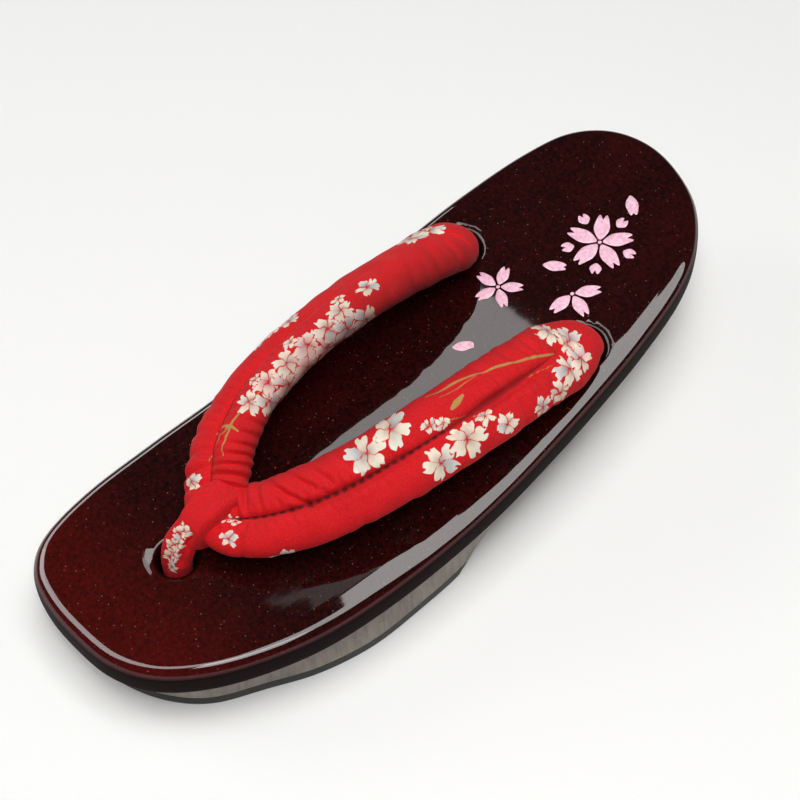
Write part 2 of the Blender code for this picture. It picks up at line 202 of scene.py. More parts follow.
# Print on the straps: places along from the join and round from the crease, positive toward the inner side
INNER_FLOWERS = (  # along, around, radius, turn, tint
    (14.0, 6.0, 3.0, 10, 0.0),
    (57.0, 10.5, 4.2, 30, 0.2),
    (62.0, 8.5, 3.6, 75, 0.6),
    (67.0, 5.5, 3.4, 12, 0.3),
    (39.0, -8.5, 4.6, 20, 0.2),
    (42.5, -14.0, 5.0, 50, 0.1),
    (47.5, -10.0, 5.2, 5, 0.8),
    (51.0, -15.5, 5.4, 35, 0.6),
    (55.5, -10.5, 5.0, 60, 0.3),
    (59.0, -16.5, 5.2, 15, 0.9),
    (63.5, -11.0, 5.2, 42, 0.7),
    (67.5, -16.0, 4.8, 8, 0.9),
    (71.5, -11.0, 5.0, 28, 0.2),
    (76.0, -15.0, 4.6, 55, 0.0),
    (77.5, -9.0, 4.2, 18, 0.0),
    (82.0, -16.5, 4.6, 40, 0.0),
    (88.5, -7.5, 3.6, 22, 0.0),
    (114.5, 5.0, 5.2, 12, 0.1),
    (122.0, 4.5, 5.4, 48, 0.0),
    (92.0, 18.0, 5.6, 30, 0.3),
    (99.0, 14.0, 4.8, 65, 0.0),
    (46.0, -5.6, 2.4, 15, 0.5),
    (61.0, -5.8, 2.6, 40, 0.2),
    (80.0, -4.6, 2.4, 5, 0.0),
    (28.0, 15.0, 5.6, 20, 0.2),
    (36.0, 19.0, 5.2, 50, 0.7),
)
OUTER_FLOWERS = (  # along, around, radius, turn, tint
    (9.4, 0.4, 2.5, 30, 0.1),
    (12.2, -0.9, 2.0, 50, 0.1),
    (11.2, -6.8, 2.5, 12, 0.2),
    (54.0, 6.4, 6.3, 8, 0.0),
    (63.6, 9.0, 6.4, 40, 0.0),
    (73.0, 4.0, 2.6, 20, 0.1),
    (76.5, 2.6, 2.4, 66, 0.0),
    (70.0, -7.5, 5.8, 25, 0.0),
    (80.0, -5.8, 6.4, 55, 0.0),
    (87.5, -3.4, 3.0, 18, 0.0),
    (92.0, -8.8, 3.8, 44, 0.0),
    (104.0, -11.0, 3.2, 20, 0.2),
    (111.5, -10.5, 4.2, 15, 0.1),
    (121.0, 7.0, 5.0, 30, 0.1),
    (125.0, 0.5, 5.2, 62, 0.3),
    (117.5, -6.5, 5.6, 20, 0.2),
    (123.5, -6.0, 4.4, 48, 0.5),
    (24.0, -17.0, 5.2, 10, 0.1),
    (32.0, -20.0, 4.6, 50, 0.6),
    (96.0, -19.0, 5.4, 35, 0.2),
    (58.0, -20.5, 5.0, 20, 0.4),
)
INNER_BRANCHES = (  # lines through places: along, around, width
    ((45.0, -10.3, 0.35), (38.0, -8.4, 0.45), (32.0, -6.0, 0.7), (30.5, -5.6, 1.1)),
    ((31.0, -5.8, 0.6), (27.0, -2.4, 0.45), (20.0, 1.4, 0.35)),
    ((31.0, -5.8, 0.6), (26.5, -5.2, 0.8), (24.0, -4.6, 0.4), (21.0, -5.0, 0.35)),
    ((30.5, -5.6, 0.9), (30.0, -2.0, 0.8), (28.0, 0.8, 0.4)),
    ((30.5, -5.6, 0.9), (29.5, -8.4, 0.6)),
)
OUTER_BRANCHES = (
    ((77.0, 12.0, 0.3), (82.0, 11.2, 0.45), (86.0, 10.4, 0.7), (90.0, 9.5, 0.5), (95.0, 8.2, 0.45),
     (99.0, 7.2, 0.8), (104.0, 5.4, 0.6), (110.0, 3.4, 0.8), (117.0, 0.6, 0.6)),
    ((80.0, 9.2, 0.25), (87.0, 8.6, 0.3), (92.0, 8.4, 0.25)),
    ((102.0, 0.2, 0.25), (108.0, -0.8, 0.3), (114.0, -2.4, 0.35)),
    ((73.0, 4.0, 0.4), (80.0, 2.0, 0.35), (88.0, -1.6, 0.4)),
    ((81.0, 4.6, 1.0), (83.0, 5.2, 1.9), (85.6, 6.0, 0.9)),
)
PETAL_GAP = 0.42                 # red left between two petals of the print
PETAL_BREADTH = 0.68             # share of a petal's length
PETAL_NOTCH = 0.22
PETAL_FULL = 0.42                # where the petal reaches farthest, as a share of its half width
PETAL_CORNER = 0.34              # how much less it reaches at its corners
PETAL_ARCH = 0.69                # share of a half turn of the sine that its sides follow
PETAL_SIZES = (0.88, 0.16)       # least length and spread, as shares of the flower's radius
BRUSH_SWAY = 0.30                # how far the printed outlines wander, as if brushed
UNPRINTED = 5.0                  # a field's value well away from any print
STITCH_PITCH = 2.6               # length of one sewing stitch along the crease
STITCHED = {"strap_inner": 0.0, "strap_outer": 76.0}  # how far back from the join the stitches show; beyond, the seam is a plain darker red line of painted crease shade

RUMPLE_DEPTH = 0.16 * MM

# Creases pressed into the padding: length is along the crease, turned from the strap's own direction
WRINKLE_BOW = 0.06               # how much each bends
WRINKLE_SWELL = {"height": 0.35, "off": 2.1}  # the low swell on both sides: share of the depth, widths away
INNER_WRINKLES = (  # along, around, length, width, depth, turn
    (9.0, -6.0, 5.0, 0.8, 1.2, 78),
    (12.0, -7.5, 6.5, 0.7, 1.1, 82),
    (15.0, -8.5, 6.5, 0.8, 1.3, 86),
    (18.2, -9.5, 6.0, 0.7, 1.0, 91),
    (21.6, -10.5, 6.0, 0.8, 1.1, 94),
    (25.4, -11.0, 5.0, 0.8, 0.8, 97),
    (29.5, -12.0, 4.5, 0.9, 0.7, 98),
    (34.0, -13.5, 4.5, 0.9, 0.5, 100),
    (12.5, 6.0, 5.0, 0.9, 0.8, 102),
    (17.0, 7.5, 5.5, 0.9, 0.8, 99),
    (22.0, 8.0, 5.0, 1.0, 0.6, 96),
    (28.0, 9.0, 5.0, 1.1, 0.5, 94),
    (36.0, 9.5, 6.0, 1.3, 0.4, 80),
    (92.0, -13.0, 7.0, 1.3, 0.4, 66),
    (101.0, -11.0, 8.0, 1.2, 0.5, 70),
    (110.0, -9.0, 8.0, 1.2, 0.5, 76),
    (117.0, -9.0, 6.0, 1.0, 0.8, 82),
    (121.5, 3.0, 6.0, 0.9, 0.8, 90),
    (124.5, -4.0, 6.0, 0.8, 0.7, 92),
)
OUTER_WRINKLES = (  # along, around, length, width, depth, turn
    (92.0, -0.8, 20.0, 1.7, 1.6, 0),
    (36.0, -0.5, 24.0, 1.5, 0.8, 0),
    (58.0, -0.5, 20.0, 1.5, 0.7, 0),
    (12.0, 6.0, 6.0, 0.8, 1.1, 102),
    (15.5, 7.5, 6.0, 0.8, 0.9, 98),
    (20.0, 8.0, 5.0, 0.9, 0.7, 95),
    (29.0, 4.5, 7.0, 0.8, 1.2, 134),
    (34.0, 7.0, 6.0, 0.8, 0.9, 130),
    (40.0, 6.5, 5.0, 1.0, 0.7, 122),
    (47.0, 8.0, 5.0, 1.1, 0.5, 112),
    (14.0, -8.0, 5.0, 0.9, 0.7, 80),
    (25.0, -8.0, 7.0, 1.2, 0.6, 66),
    (46.0, -9.0, 8.0, 1.4, 0.5, 74),
    (60.0, -9.0, 7.0, 1.5, 0.35, 80),
    (86.0, 8.0, 9.0, 1.3, 0.6, 150),
    (95.0, 8.0, 7.0, 1.2, 0.6, 118),
    (104.0, 8.0, 7.0, 1.1, 0.7, 110),
    (112.0, 7.0, 6.0, 1.0, 0.8, 102),
    (118.0, 6.0, 6.0, 0.9, 0.8, 96),
    (99.0, -8.0, 7.0, 1.3, 0.5, 70),
    (110.0, -9.0, 6.0, 1.1, 0.7, 80),
    (119.0, -6.0, 5.0, 0.9, 0.8, 88),
    (124.0, -3.0, 5.0, 0.8, 0.8, 92),
)

# Toe loop: its post from below the deck up to the join, and its band round the join
TOE_POST = (  # columns as for the straps
    (-8.0, -84.0, -18.0, 7.5, 7.5, 0, 0.0),
    (-8.0, -84.0, -9.0, 8.6, 8.6, 0, 0.0),
    (-8.0, -84.0, -2.0, 9.6, 9.0, 0, 0.5),
    (-7.6, -82.8, 5.0, 10.2, 8.8, 0, 0.9),
    (-6.6, -79.4, 11.0, 9.0, 8.4, 0, 0.6),
    (-5.8, -74.5, 14.5, 9.5, 8.0, 0, 0.0),
)
LOOP_CENTRE = (-5.7, -71.0, 10.0)
LOOP_RADII = (8.2 * MM, 6.4 * MM)
LOOP_WIDTH = {"top": 10.8 * MM, "front": 7.6 * MM}
LOOP_THICKNESS = 3.0 * MM
LOOP_LEAN = 12.0
LOOP_WIDEST = 35.0

LOOP_EDGE = ((-0.5, -0.9), (-0.49, 0.1), (-0.46, 0.6), (-0.38, 0.95), (-0.2, 1.0), (0.2, 1.0), (0.38, 0.95),
             (0.46, 0.6), (0.49, 0.1), (0.5, -0.9))  # place across the band, share of its thickness
LOOP_VOXEL = 0.42 * MM
LOOP_EASING = 6
LOOP_PLEATS = {"pitch": 3.3, "depth": 0.12 * MM, "lean": 0.22, "cut": 0.35}
POST_FOLD = {"around": 1.6, "width": 0.75, "depth": 1.5 * MM, "from": 1.0, "to": 17.0, "fade": 3.0}
POST_FACE = {"top": (-4.6, -78.6, 47.2), "foot": (-5.4, -86.5, 30.0)}  # middle of the post's printed face
POST_FACING = (0.2, -0.9, 0.4)
POST_FRONT = 4.0                 # the printed face lies at least so far ahead of the loop's centre
AWAY_FROM_PRINT = 50.0
AWAY_FROM_SEAM = 5.0
LOOP_FLOWERS = (  # along is down the post from the face's top, around is toward the outer side
    (3.4, -1.0, 2.7, 20, 0.1),
    (5.4, -2.2, 2.8, 50, 0.3),
    (8.2, -1.0, 2.8, 10, 0.1),
    (10.6, -2.4, 2.9, 35, 0.2),
    (13.2, -1.2, 2.9, 60, 0.4),
    (15.6, -2.4, 2.8, 15, 0.2),
    (18.0, -0.8, 2.5, 30, 0.1),
)

# Painted blossoms on the deck: petals round each centre, the ring of small ones, and those that lie alone
DECK_BLOSSOMS = (  # x, y, radius, turn, petals
    (4.0, 79.3, 10.4, 54, (0, 1, 2, 3, 4)),
    (11.1, 59.5, 8.8, 54, (0, 3, 4)),
    (-7.2, 45.7, 7.6, 42, (0, 1, 2, 3, 4)),
)
DECK_PETAL = {"offset": 0.8, "shorter": 0.5, "breadth": 0.50, "notch": 0.2}
DECK_EYE = {"offset": 0.6, "length": 1.2, "width": 1.4}
HEART_RING = {"blossom": 0, "distance": 7.9, "length": 4.2, "width": 3.9, "notch": 0.34}
LONE_BREADTH = 0.52
LONE_PETALS = (  # x, y, length, turn, notch
    (-1.5, 99.2, 8.0, -39, 0.10),
    (-3.1, 61.0, 7.6, 36, 0.12),
    (-1.7, 20.3, 6.9, 53, 0.0),
)
PAINT_THICKNESS = 0.12 * MM
PAINT_RIM = -0.05 * MM           # the petal's rim and its lower face lie in the deck
PAINT_FOOT = -0.25 * MM
PETAL_STEPS = (26, 17)           # along and across a petal's grid

# Knots: a cord wound as a three-leaved knot, its two tails, and the pair of cords up into the hole
KNOT_REACH = (5.9 * MM, 3.1 * MM, 1.6 * MM)
KNOT_CORD_RADIUS = 1.75 * MM
KNOT_TAIL = (6.5 * MM, -2.2 * MM, -0.2 * MM)
KNOT_TAIL_BOW = (0, -1.0 * MM, 0.4 * MM)
KNOT_TAIL_THIN = 0.85
RISER_APART = 0.8                # share of the cord's radius to each side
RISER_SHORT = 0.4 * MM           # it ends so far below its solid's top
STRAND_RIDGE = (0.93, 0.10)      # least radius and rise over each strand, as shares
CORD_END = {"length": 0.5, "least": 0.25}  # rounding of a cord's ends, as shares of its radius
STRANDS = 3
STRAND_PITCH = 7.0 * MM

# Camera, in metres
CAMERA_PLACE = (0.2344, -0.2274, 0.5070)
CAMERA_TARGET = (-0.0020, -0.0010, 0.0330)
SENSOR_WIDTH = 36.0
LENS = 86.0

# Light cards: the deck mirrors each between the given places, for a surface that leans outward by so much
WINDOW_CORNERS = (  # x, y
    (-13.5, -42.0),
    (27.0, -60.0),
    (31.0, -52.0),
    (32.5, -57.0),
    (35.5, -46.5),
    (38.5, -54.0),
    (41.0, -45.5),
    (44.5, -51.0),
    (50.0, -48.0),
    (50.0, 44.0),
    (-11.5, 42.0),
)
GLOW_CORNERS = (  # x, y: the faint end of the window, toward the toe
    (22.0, -76.0),
    (30.0, -66.0),
    (33.0, -70.0),
    (38.0, -60.0),
    (47.0, -65.0),
    (47.0, -44.0),
    (28.0, -48.0),
)
RIM_CARD = (  # x, y, least and most lean: along the inner side, round the toe and back along the outer side
    (-41.5, 66.0, 15, 18),
    (-42.0, 5.0, 15, 19),
    (-43.0, -50.0, 14, 20),
    (-43.0, -100.0, 12, 22),
    (-31.0, -117.0, 10, 24),
    (-13.0, -120.0, 9, 26),
    (10.0, -115.0, 12, 25),
    (22.0, -104.5, 15, 22),
    (31.0, -91.0, 15, 21),
    (37.0, -76.0, 9, 24),
    (41.0, -63.0, 1, 40),
    (45.0, -26.0, 0.3, 46),
    (44.5, 10.0, 0.3, 46),
    (40.5, 45.0, 0.3, 46),
    (36.3, 70.0, 3, 44),
    (32.0, 88.0, 17, 36),
)
CARD_DISTANCE = 1.3
WINDOW_RADIANCE = 6.0
GLOW_RADIANCE = 1.1
RIM_RADIANCE = 9.0
SOFT_BOXES = (  # name, place, target, side, watts, shown by polished surfaces
    ("overhead", (0.1, 0.0, 1.3), (0, 0, 0), 0.7, 10.0, False),
    ("camera_side", (0.42, -0.42, 1.15), (0, 0, 0.03), 0.42, 6.2, True),
    ("far_side", (-0.9, -0.5, 0.7), (0, 0, 0.03), 0.5, 1.6, True),
)
WORLD_STRENGTH = 0.05


def rim_height(y):
    """Height of the deck's rim plane, rising evenly from toe to heel."""
    return TOE_HEIGHT + (HEEL_HEIGHT - TOE_HEIGHT) * (np.asarray(y) / LENGTH + 0.5)


def catmull_rom(before, start, end, after, steps):
    """A stretch of a smooth curve from start to end: half of 2s + (e-b)t + (2b-5s+4e-a)t2 + (3s-b-3e+a)t3."""
    step = np.linspace(0, 1, steps, endpoint=False)[:, None]
    return 0.5 * (2 * start + (end - before) * step
                  + (2 * before - 5 * start + 4 * end - after) * step ** 2
                  + (3 * start - before - 3 * end + after) * step ** 3)


def evenly(line, count, closed):
    """Rows at equal distances along a line, measured on its first two or three columns."""
    axes = min(3, line.shape[1])
    travelled = np.concatenate([[0], np.cumsum(np.linalg.norm(np.diff(line[:, :axes], axis=0), axis=1))])
    wanted = np.linspace(0, travelled[-1], count, endpoint=not closed)
    return np.stack([np.interp(wanted, travelled, column) for column in line.T], axis=1)


def smooth_closed(rows, count):
    """The closed smooth curve through a table of points, evenly resampled."""
    table = np.array(rows) * MM
    size = len(table)
    pieces = [catmull_rom(*table[np.arange(index - 1, index + 3) % size], CURVE_STEPS)
              for index in range(size)]
    return evenly(np.concatenate(pieces + [table[:1]]), count, True)


def smooth_open(rows, count):
    """The open smooth curve through a table of sections, evenly resampled."""
    table = np.array(rows, dtype=float)
    padded = np.concatenate([2 * table[:1] - table[1:2], table, 2 * table[-1:] - table[-2:-1]])
    pieces = [catmull_rom(*padded[index:index + 4], CURVE_STEPS) for index in range(len(table) - 1)]
    return evenly(np.concatenate(pieces + [table[-1:]]), count, False)


def spine_points(plan):
    """The nearest places on the middle line, toward which insets run."""
    return np.column_stack([np.zeros(len(plan)), np.clip(plan[:, 1], *SPINE_ENDS)])


def inset_evenly(plan, inset):
    """An outline moved toward the spine by the same amount all round."""
    return inset_outline(plan, inset, inset, inset)


def inset_outline(plan, medial, lateral, ends):
    """An outline moved toward the spine: the three insets blended by the squares of the direction's parts."""
    away = plan - spine_points(plan)
    away /= np.linalg.norm(away, axis=1)[:, None]
    inset = (medial * np.clip(-away[:, 0], 0, 1) ** 2 + lateral * np.clip(away[:, 0], 0, 1) ** 2
             + ends * away[:, 1] ** 2)
    return plan - away * inset[:, None]


def lifted(plan, height):
    """Plan points with their heights."""
    return np.column_stack([plan, np.broadcast_to(height, len(plan))])


def placed(name, data):
    """A new object in the scene."""
    made = bpy.data.objects.new(name, data)
    bpy.context.scene.collection.objects.link(made)
    return made


def surface(name, grid):
    """A mesh from a grid of points: rows are closed rings, joined one to the next, both ends capped."""
    rows, columns = grid.shape[:2]
    low = np.arange(rows - 1)[:, None] * columns
    high = low + columns
    step = np.arange(columns)
    after = (step + 1) % columns
    quads = np.stack([low + step, low + after, high + after, high + step], axis=-1)
    faces = quads.reshape(-1, 4).tolist()
    faces.append(list(range(columns - 1, -1, -1)))
    faces.append(list(range((rows - 1) * columns, rows * columns)))
    mesh = bpy.data.meshes.new(name)
    mesh.from_pydata(grid.reshape(-1, 3).tolist(), [], faces)
    mesh.update()
    return placed(name, mesh)


def round_plan(x, y, radii, count):
    """Points round an ellipse, from its outer side, counter-clockwise seen from above."""
    turn = np.linspace(0, 2 * math.pi, count, endpoint=False)
    return np.column_stack([x + radii[0] * np.cos(turn), y + radii[1] * np.sin(turn)])


def attribute(made, name, values):
    """Stores one number per point."""
    layer = made.data.attributes.new(name, "FLOAT", "POINT")
    layer.data.foreach_set("value", np.asarray(values, dtype=np.float32).ravel())


def settled(made):
    """Replaces a mesh by what its modifiers make of it."""
    graph = bpy.context.evaluated_depsgraph_get()
    mesh = bpy.data.meshes.new_from_object(made.evaluated_get(graph))
    made.modifiers.clear()
    made.data = mesh


def boolean(target, cutter, operation="DIFFERENCE"):
    """Applies an exact Boolean and drops the cutter."""
    step = target.modifiers.new("cut", "BOOLEAN")
    step.operation = operation
    step.solver = "EXACT"
    step.object = cutter
    settled(target)
    bpy.data.objects.remove(cutter)


def cleaned(made):
    """Merges coincident points and turns all faces outward."""
    work = bmesh.new()
    work.from_mesh(made.data)
    bmesh.ops.remove_doubles(work, verts=work.verts, dist=0.00001)
    bmesh.ops.recalc_face_normals(work, faces=work.faces)
    work.to_mesh(made.data)
    work.free()


def finish_piece(made, look, sharp, replaces=()):
    """Material, smooth shading with edges kept from some angle up, and the piece's place in the frame."""
    made.data.materials.clear()
    made.data.materials.append(look)
    made.data.shade_smooth()
    made.data.set_sharp_from_angle(angle=math.radians(sharp))
    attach(made, "root")
    if replaces:
        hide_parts(*replaces)


def colour(code):
    """An sRGB hex colour turned to linear."""
    parts = np.array([int(code[index:index + 2], 16) / 255 for index in (0, 2, 4)])
    linear = np.where(parts <= 0.04045, parts / 12.92, ((parts + 0.055) / 1.055) ** 2.4)
    return (*linear.tolist(), 1.0)


def node(tree, kind, settings=None, **sockets):
    """Adds a node, sets its properties, and fills or links its inputs: by name, or _2 for the third one."""
    made = tree.nodes.new(kind)
    for key, value in (settings or {}).items():
        setattr(made, key, value)
    for key, value in sockets.items():
        name = int(key[1:]) if key[0] == "_" and key[1:].isdigit() else key.replace("_", " ")
        if isinstance(value, bpy.types.NodeSocket):
            tree.links.new(value, made.inputs[name])
        else:
            made.inputs[name].default_value = value
    return made


def ramp(tree, factor, stops):
    """A colour ramp from (place, hex) stops."""
    made = node(tree, "ShaderNodeValToRGB", Fac=factor)
    while len(made.color_ramp.elements) < len(stops):
        made.color_ramp.elements.new(0.5)
    for element, (place, code) in zip(made.color_ramp.elements, stops):
        element.position = place
        element.color = colour(code)
    return made.outputs["Color"]


def blend_colours(tree, factor, first, second, kind="MIX"):
    """Mixes two colours by a factor."""
    settings = {"data_type": "RGBA", "blend_type": kind}
    return node(tree, "ShaderNodeMix", settings, _0=factor, _6=first, _7=second).outputs[2]


def read_attribute(tree, name):
    """The number stored per point under a name."""
    return node(tree, "ShaderNodeAttribute", {"attribute_name": name}).outputs["Fac"]


def spanned(tree, value, start, end, ends=(0.0, 1.0), kind="LINEAR"):
    """A value carried from start..end to the two ends, and held beyond them."""
    made = node(tree, "ShaderNodeMapRange", {"interpolation_type": kind}, Value=value,
                From_Min=start, From_Max=end, To_Min=ends[0], To_Max=ends[1])
    return made.outputs["Result"]


def worked_out(tree, operation, first, second):
    """One sum, product or comparison of two numbers."""
    return node(tree, "ShaderNodeMath", {"operation": operation}, _0=first, _1=second).outputs[0]


def roughened(tree, shader, height, strength, distance):
    """Fine relief too small for the mesh, from a texture's height; returns the bent normal."""
    bump = node(tree, "ShaderNodeBump", Height=height, Strength=strength, Distance=distance)
    tree.links.new(bump.outputs["Normal"], shader.inputs["Normal"])
    return bump.outputs["Normal"]


def mask_below(tree, name, edge, soft):
    """1 where the named attribute lies below an edge, fading over a soft width."""
    return spanned(tree, read_attribute(tree, name), edge - soft, edge + soft, (1.0, 0.0), "SMOOTHSTEP")


def new_material(name, roughness, **sockets):
    """A Principled material with its constant values on the shader's sockets."""
    made = bpy.data.materials.new(name)
    made.use_nodes = True
    tree = made.node_tree
    shader = tree.nodes["Principled BSDF"]
    shader.inputs["Roughness"].default_value = roughness
    for key, value in sockets.items():
        shader.inputs[key.replace("_", " ")].default_value = value
    return made, tree, shader


def pitch(size):
    """Texture scale whose features repeat about every so many millimetres."""
    return 1000 / size


def object_places(tree, scale=(1, 1, 1)):
    """Object coordinates in metres, scaled along each axis."""
    read = node(tree, "ShaderNodeTexCoord")
    return node(tree, "ShaderNodeMapping", Vector=read.outputs["Object"], Scale=scale).outputs["Vector"]


def noise(tree, vector, size, **sockets):
    """A noise texture whose features are about so many millimetres wide."""
    return node(tree, "ShaderNodeTexNoise", Vector=vector, Scale=pitch(size), **sockets).outputs["Fac"]


def lacquered_wood():
    """Urushi-style lacquer on wood: nearly black, warm red where the ground shows through, deep gloss.

    The dust in it is drawn coarser than real, as specks of about 0.3 mm, or it would not show.
    """
    made, tree, shader = new_material("urushi lacquer, polished", 0.35, Coat_Weight=1.0, Coat_Roughness=0.03,
                                      Coat_IOR=1.4, Specular_IOR_Level=0.0)
    places = object_places(tree)
    along = object_places(tree, (1.0, 0.28, 1.0))
    cloud = noise(tree, along, 26, Detail=4.0, Roughness=0.55)
    ground = ramp(tree, cloud, ((0.30, "100504"), (0.50, "200807"), (0.70, "3A0C0B")))
    mottle = noise(tree, places, 1.25, Detail=2.0, Roughness=0.7)
    ground = blend_colours(tree, 0.55, ground, ramp(tree, mottle, ((0.35, "0C0504"), (0.64, "3A0D0B"))))
    lengthwise = node(tree, "ShaderNodeSeparateXYZ", Vector=places).outputs["Y"]
    toward_toe = spanned(tree, lengthwise, *RED_TOE, (0.6, 0.0), "SMOOTHSTEP")
    ground = blend_colours(tree, worked_out(tree, "MULTIPLY", toward_toe, mottle), ground, colour("6A1210"))
    fleck = node(tree, "ShaderNodeTexVoronoi", {"feature": "F1"}, Vector=places, Scale=pitch(1.6))
    speck = spanned(tree, fleck.outputs["Distance"], 0.06, 0.17, (1.0, 0.0))
    chosen = worked_out(tree, "GREATER_THAN", noise(tree, places, 0.65, Detail=1.0), 0.53)
    dusted = blend_colours(tree, worked_out(tree, "MULTIPLY", speck, chosen), ground, colour("7A5A50"))
    rubbed = blend_colours(tree, mask_below(tree, "edge", 0.5, 0.9), dusted, colour("4E0E14"))
    side = read_attribute(tree, "side")
    # painted shade: the side below the arris is coloured near black; its coat is also thinned
    tree.links.new(blend_colours(tree, side, rubbed, colour("150506")), shader.inputs["Base Color"])
    tree.links.new(spanned(tree, side, 0.0, 1.0, (1.0, 0.10)), shader.inputs["Coat Weight"])
    ripple = roughened(tree, shader, noise(tree, along, 8, Detail=2.0), 0.05, 0.0004)
    tree.links.new(ripple, shader.inputs["Coat Normal"])
    return made


def petal_paint():
    """Opaque pink enamel, brushed on: flat satin colour with faint strokes."""
    made, tree, shader = new_material("blossom enamel, brushed", 0.45, Coat_Weight=0.2, Coat_Roughness=0.3)
    strokes = noise(tree, object_places(tree), 1.1, Detail=2.0)
    pink = ramp(tree, strokes, ((0.35, "DB9DB6"), (0.65, "EFBED0")))
    tree.links.new(pink, shader.inputs["Base Color"])
    return made


def painted_body():
    """Sanded wood under a thin taupe coat: satin, with faint upright grain and dust in the pores."""
    made, tree, shader = new_material("taupe coat on sanded wood", 0.5)
    grain = noise(tree, object_places(tree, (1.0, 1.0, 0.12)), 2.4, Detail=5.0, Roughness=0.65)
    cloud = noise(tree, object_places(tree), 22, Detail=3.0)
    base = ramp(tree, cloud, ((0.3, "7C736A"), (0.7, "968C81")))
    dark = ramp(tree, grain, ((0.35, "D4D0CA"), (0.6, "FFFFFF")))
    tree.links.new(blend_colours(tree, 1.0, base, dark, "MULTIPLY"), shader.inputs["Base Color"])
    roughened(tree, shader, grain, 0.25, 0.0003)
    return made


def sole_rubber():
    """Pressed rubber sheet: near black with a green cast, matte. Its grit is drawn coarser than real."""
    made, tree, shader = new_material("rubber sheet, pressed", 0.72)
    grit = noise(tree, object_places(tree), 0.7, Detail=3.0)
    tree.links.new(ramp(tree, grit, ((0.3, "141714"), (0.7, "252A26"))), shader.inputs["Base Color"])
    roughened(tree, shader, grit, 0.4, 0.0003)
    return made


def crepe_cotton():
    """Crepe-woven cotton, piece-dyed red and screen printed: matte and pebbled. The seam's darker line is
    thread where stitched and painted crease shade beyond; painted shade darkens the strap's sides.

    The crepe's pebbles are drawn at 0.6 mm, about twice their real size, or they would be finer than a pixel.
    """
    made, tree, shader = new_material("crepe cotton, printed", 0.85, Sheen_Weight=0.03, Sheen_Roughness=0.5,
                                      Specular_IOR_Level=0.10)
    weave_map = node(tree, "ShaderNodeUVMap", {"uv_map": "cloth"}).outputs["UV"]
    pebble = noise(tree, weave_map, 0.6, Detail=2.0, Roughness=0.6)
    tone = noise(tree, weave_map, 9, Detail=2.0)
    red = ramp(tree, pebble, ((0.32, "C00A12"), (0.62, "DA111A")))
    red = blend_colours(tree, 0.12, red, ramp(tree, tone, ((0.35, "A0060D"), (0.65, "EC1A24"))))
    heart, tint, shade, stitch, seam = (read_attribute(tree, name)
                                        for name in ("heart", "tint", "shade", "stitch", "seam"))
    cream = ramp(tree, heart, ((0.0, "9A6A62"), (0.22, "CDB8A8"), (0.55, "EADCC6"), (1.0, "F6EEDC")))
    grey = ramp(tree, heart, ((0.0, "8A6A6C"), (0.25, "A9A8AB"), (0.60, "CCCCC8"), (1.0, "F0ECE0")))
    pink = ramp(tree, heart, ((0.0, "B0484C"), (0.28, "DB9C9A"), (0.65, "F0CABD"), (1.0, "F6E2D4")))
    petals = blend_colours(tree, ramp(tree, shade, ((0.55, "000000"), (0.9, "FFFFFF"))), cream, grey)
    petals = blend_colours(tree, tint, petals, pink)
    cloth = blend_colours(tree, mask_below(tree, "branch", 0.0, 0.12), red, colour("B48C4E"))
    cloth = blend_colours(tree, mask_below(tree, "petal", 0.0, 0.12), cloth, petals)
    # thread where stitched; beyond the stitches, and along the whole inner strap, a plain darker red line as
    # painted crease shade
    thread_and_crease_shade = ramp(tree, stitch, ((0.25, "960C14"), (0.60, "56070C")))
    cloth = blend_colours(tree, mask_below(tree, "seam", 0.45, 0.30), cloth, thread_and_crease_shade)
    # painted shade: the cloth is darkened down the strap's sides, away from the crease, where its underside
    # falls in shade
    under = spanned(tree, seam, 7.0, 19.0, kind="SMOOTHSTEP")
    cloth = blend_colours(tree, under, cloth, colour("B09A9A"), "MULTIPLY")
    tree.links.new(cloth, shader.inputs["Base Color"])
    roughened(tree, shader, pebble, 0.5, 0.0004)
    return made


def cotton_cord():
    """Twisted undyed cotton cord: off-white, matte, with slanting strands."""
    made, tree, shader = new_material("cotton cord, twisted", 0.9)
    wave = node(tree, "ShaderNodeTexWave", {"bands_direction": "DIAGONAL"}, Vector=object_places(tree),
                Scale=pitch(3.8), Distortion=2.0, Detail=2.0).outputs["Fac"]
    tree.links.new(ramp(tree, wave, ((0.0, "8E8471"), (1.0, "D8CDB8"))), shader.inputs["Base Color"])
    roughened(tree, shader, wave, 0.6, 0.0005)
    return made


def flared_drill(x, y, radius):
    """A round cutter that flares at the deck's surface, whose slope it follows, to leave an eased edge."""
    top = float(rim_height(y))
    levels = [(top + rise * HOLE_EASE, grow * HOLE_EASE, 1.0) for rise, grow in HOLE_FLARE]
    levels.insert(0, (CUT_BELOW, 0.0, 0.0))
    levels.append((CUT_ABOVE, HOLE_FLARE[-1][1] * HOLE_EASE, 0.0))
    rings = []
    for height, grow, sloped in levels:
        plan = round_plan(x, y, (radius + grow, radius + grow), 96)
        rings.append(lifted(plan, height + (rim_height(plan[:, 1]) - top) * sloped))
    return surface("drill", np.array(rings))


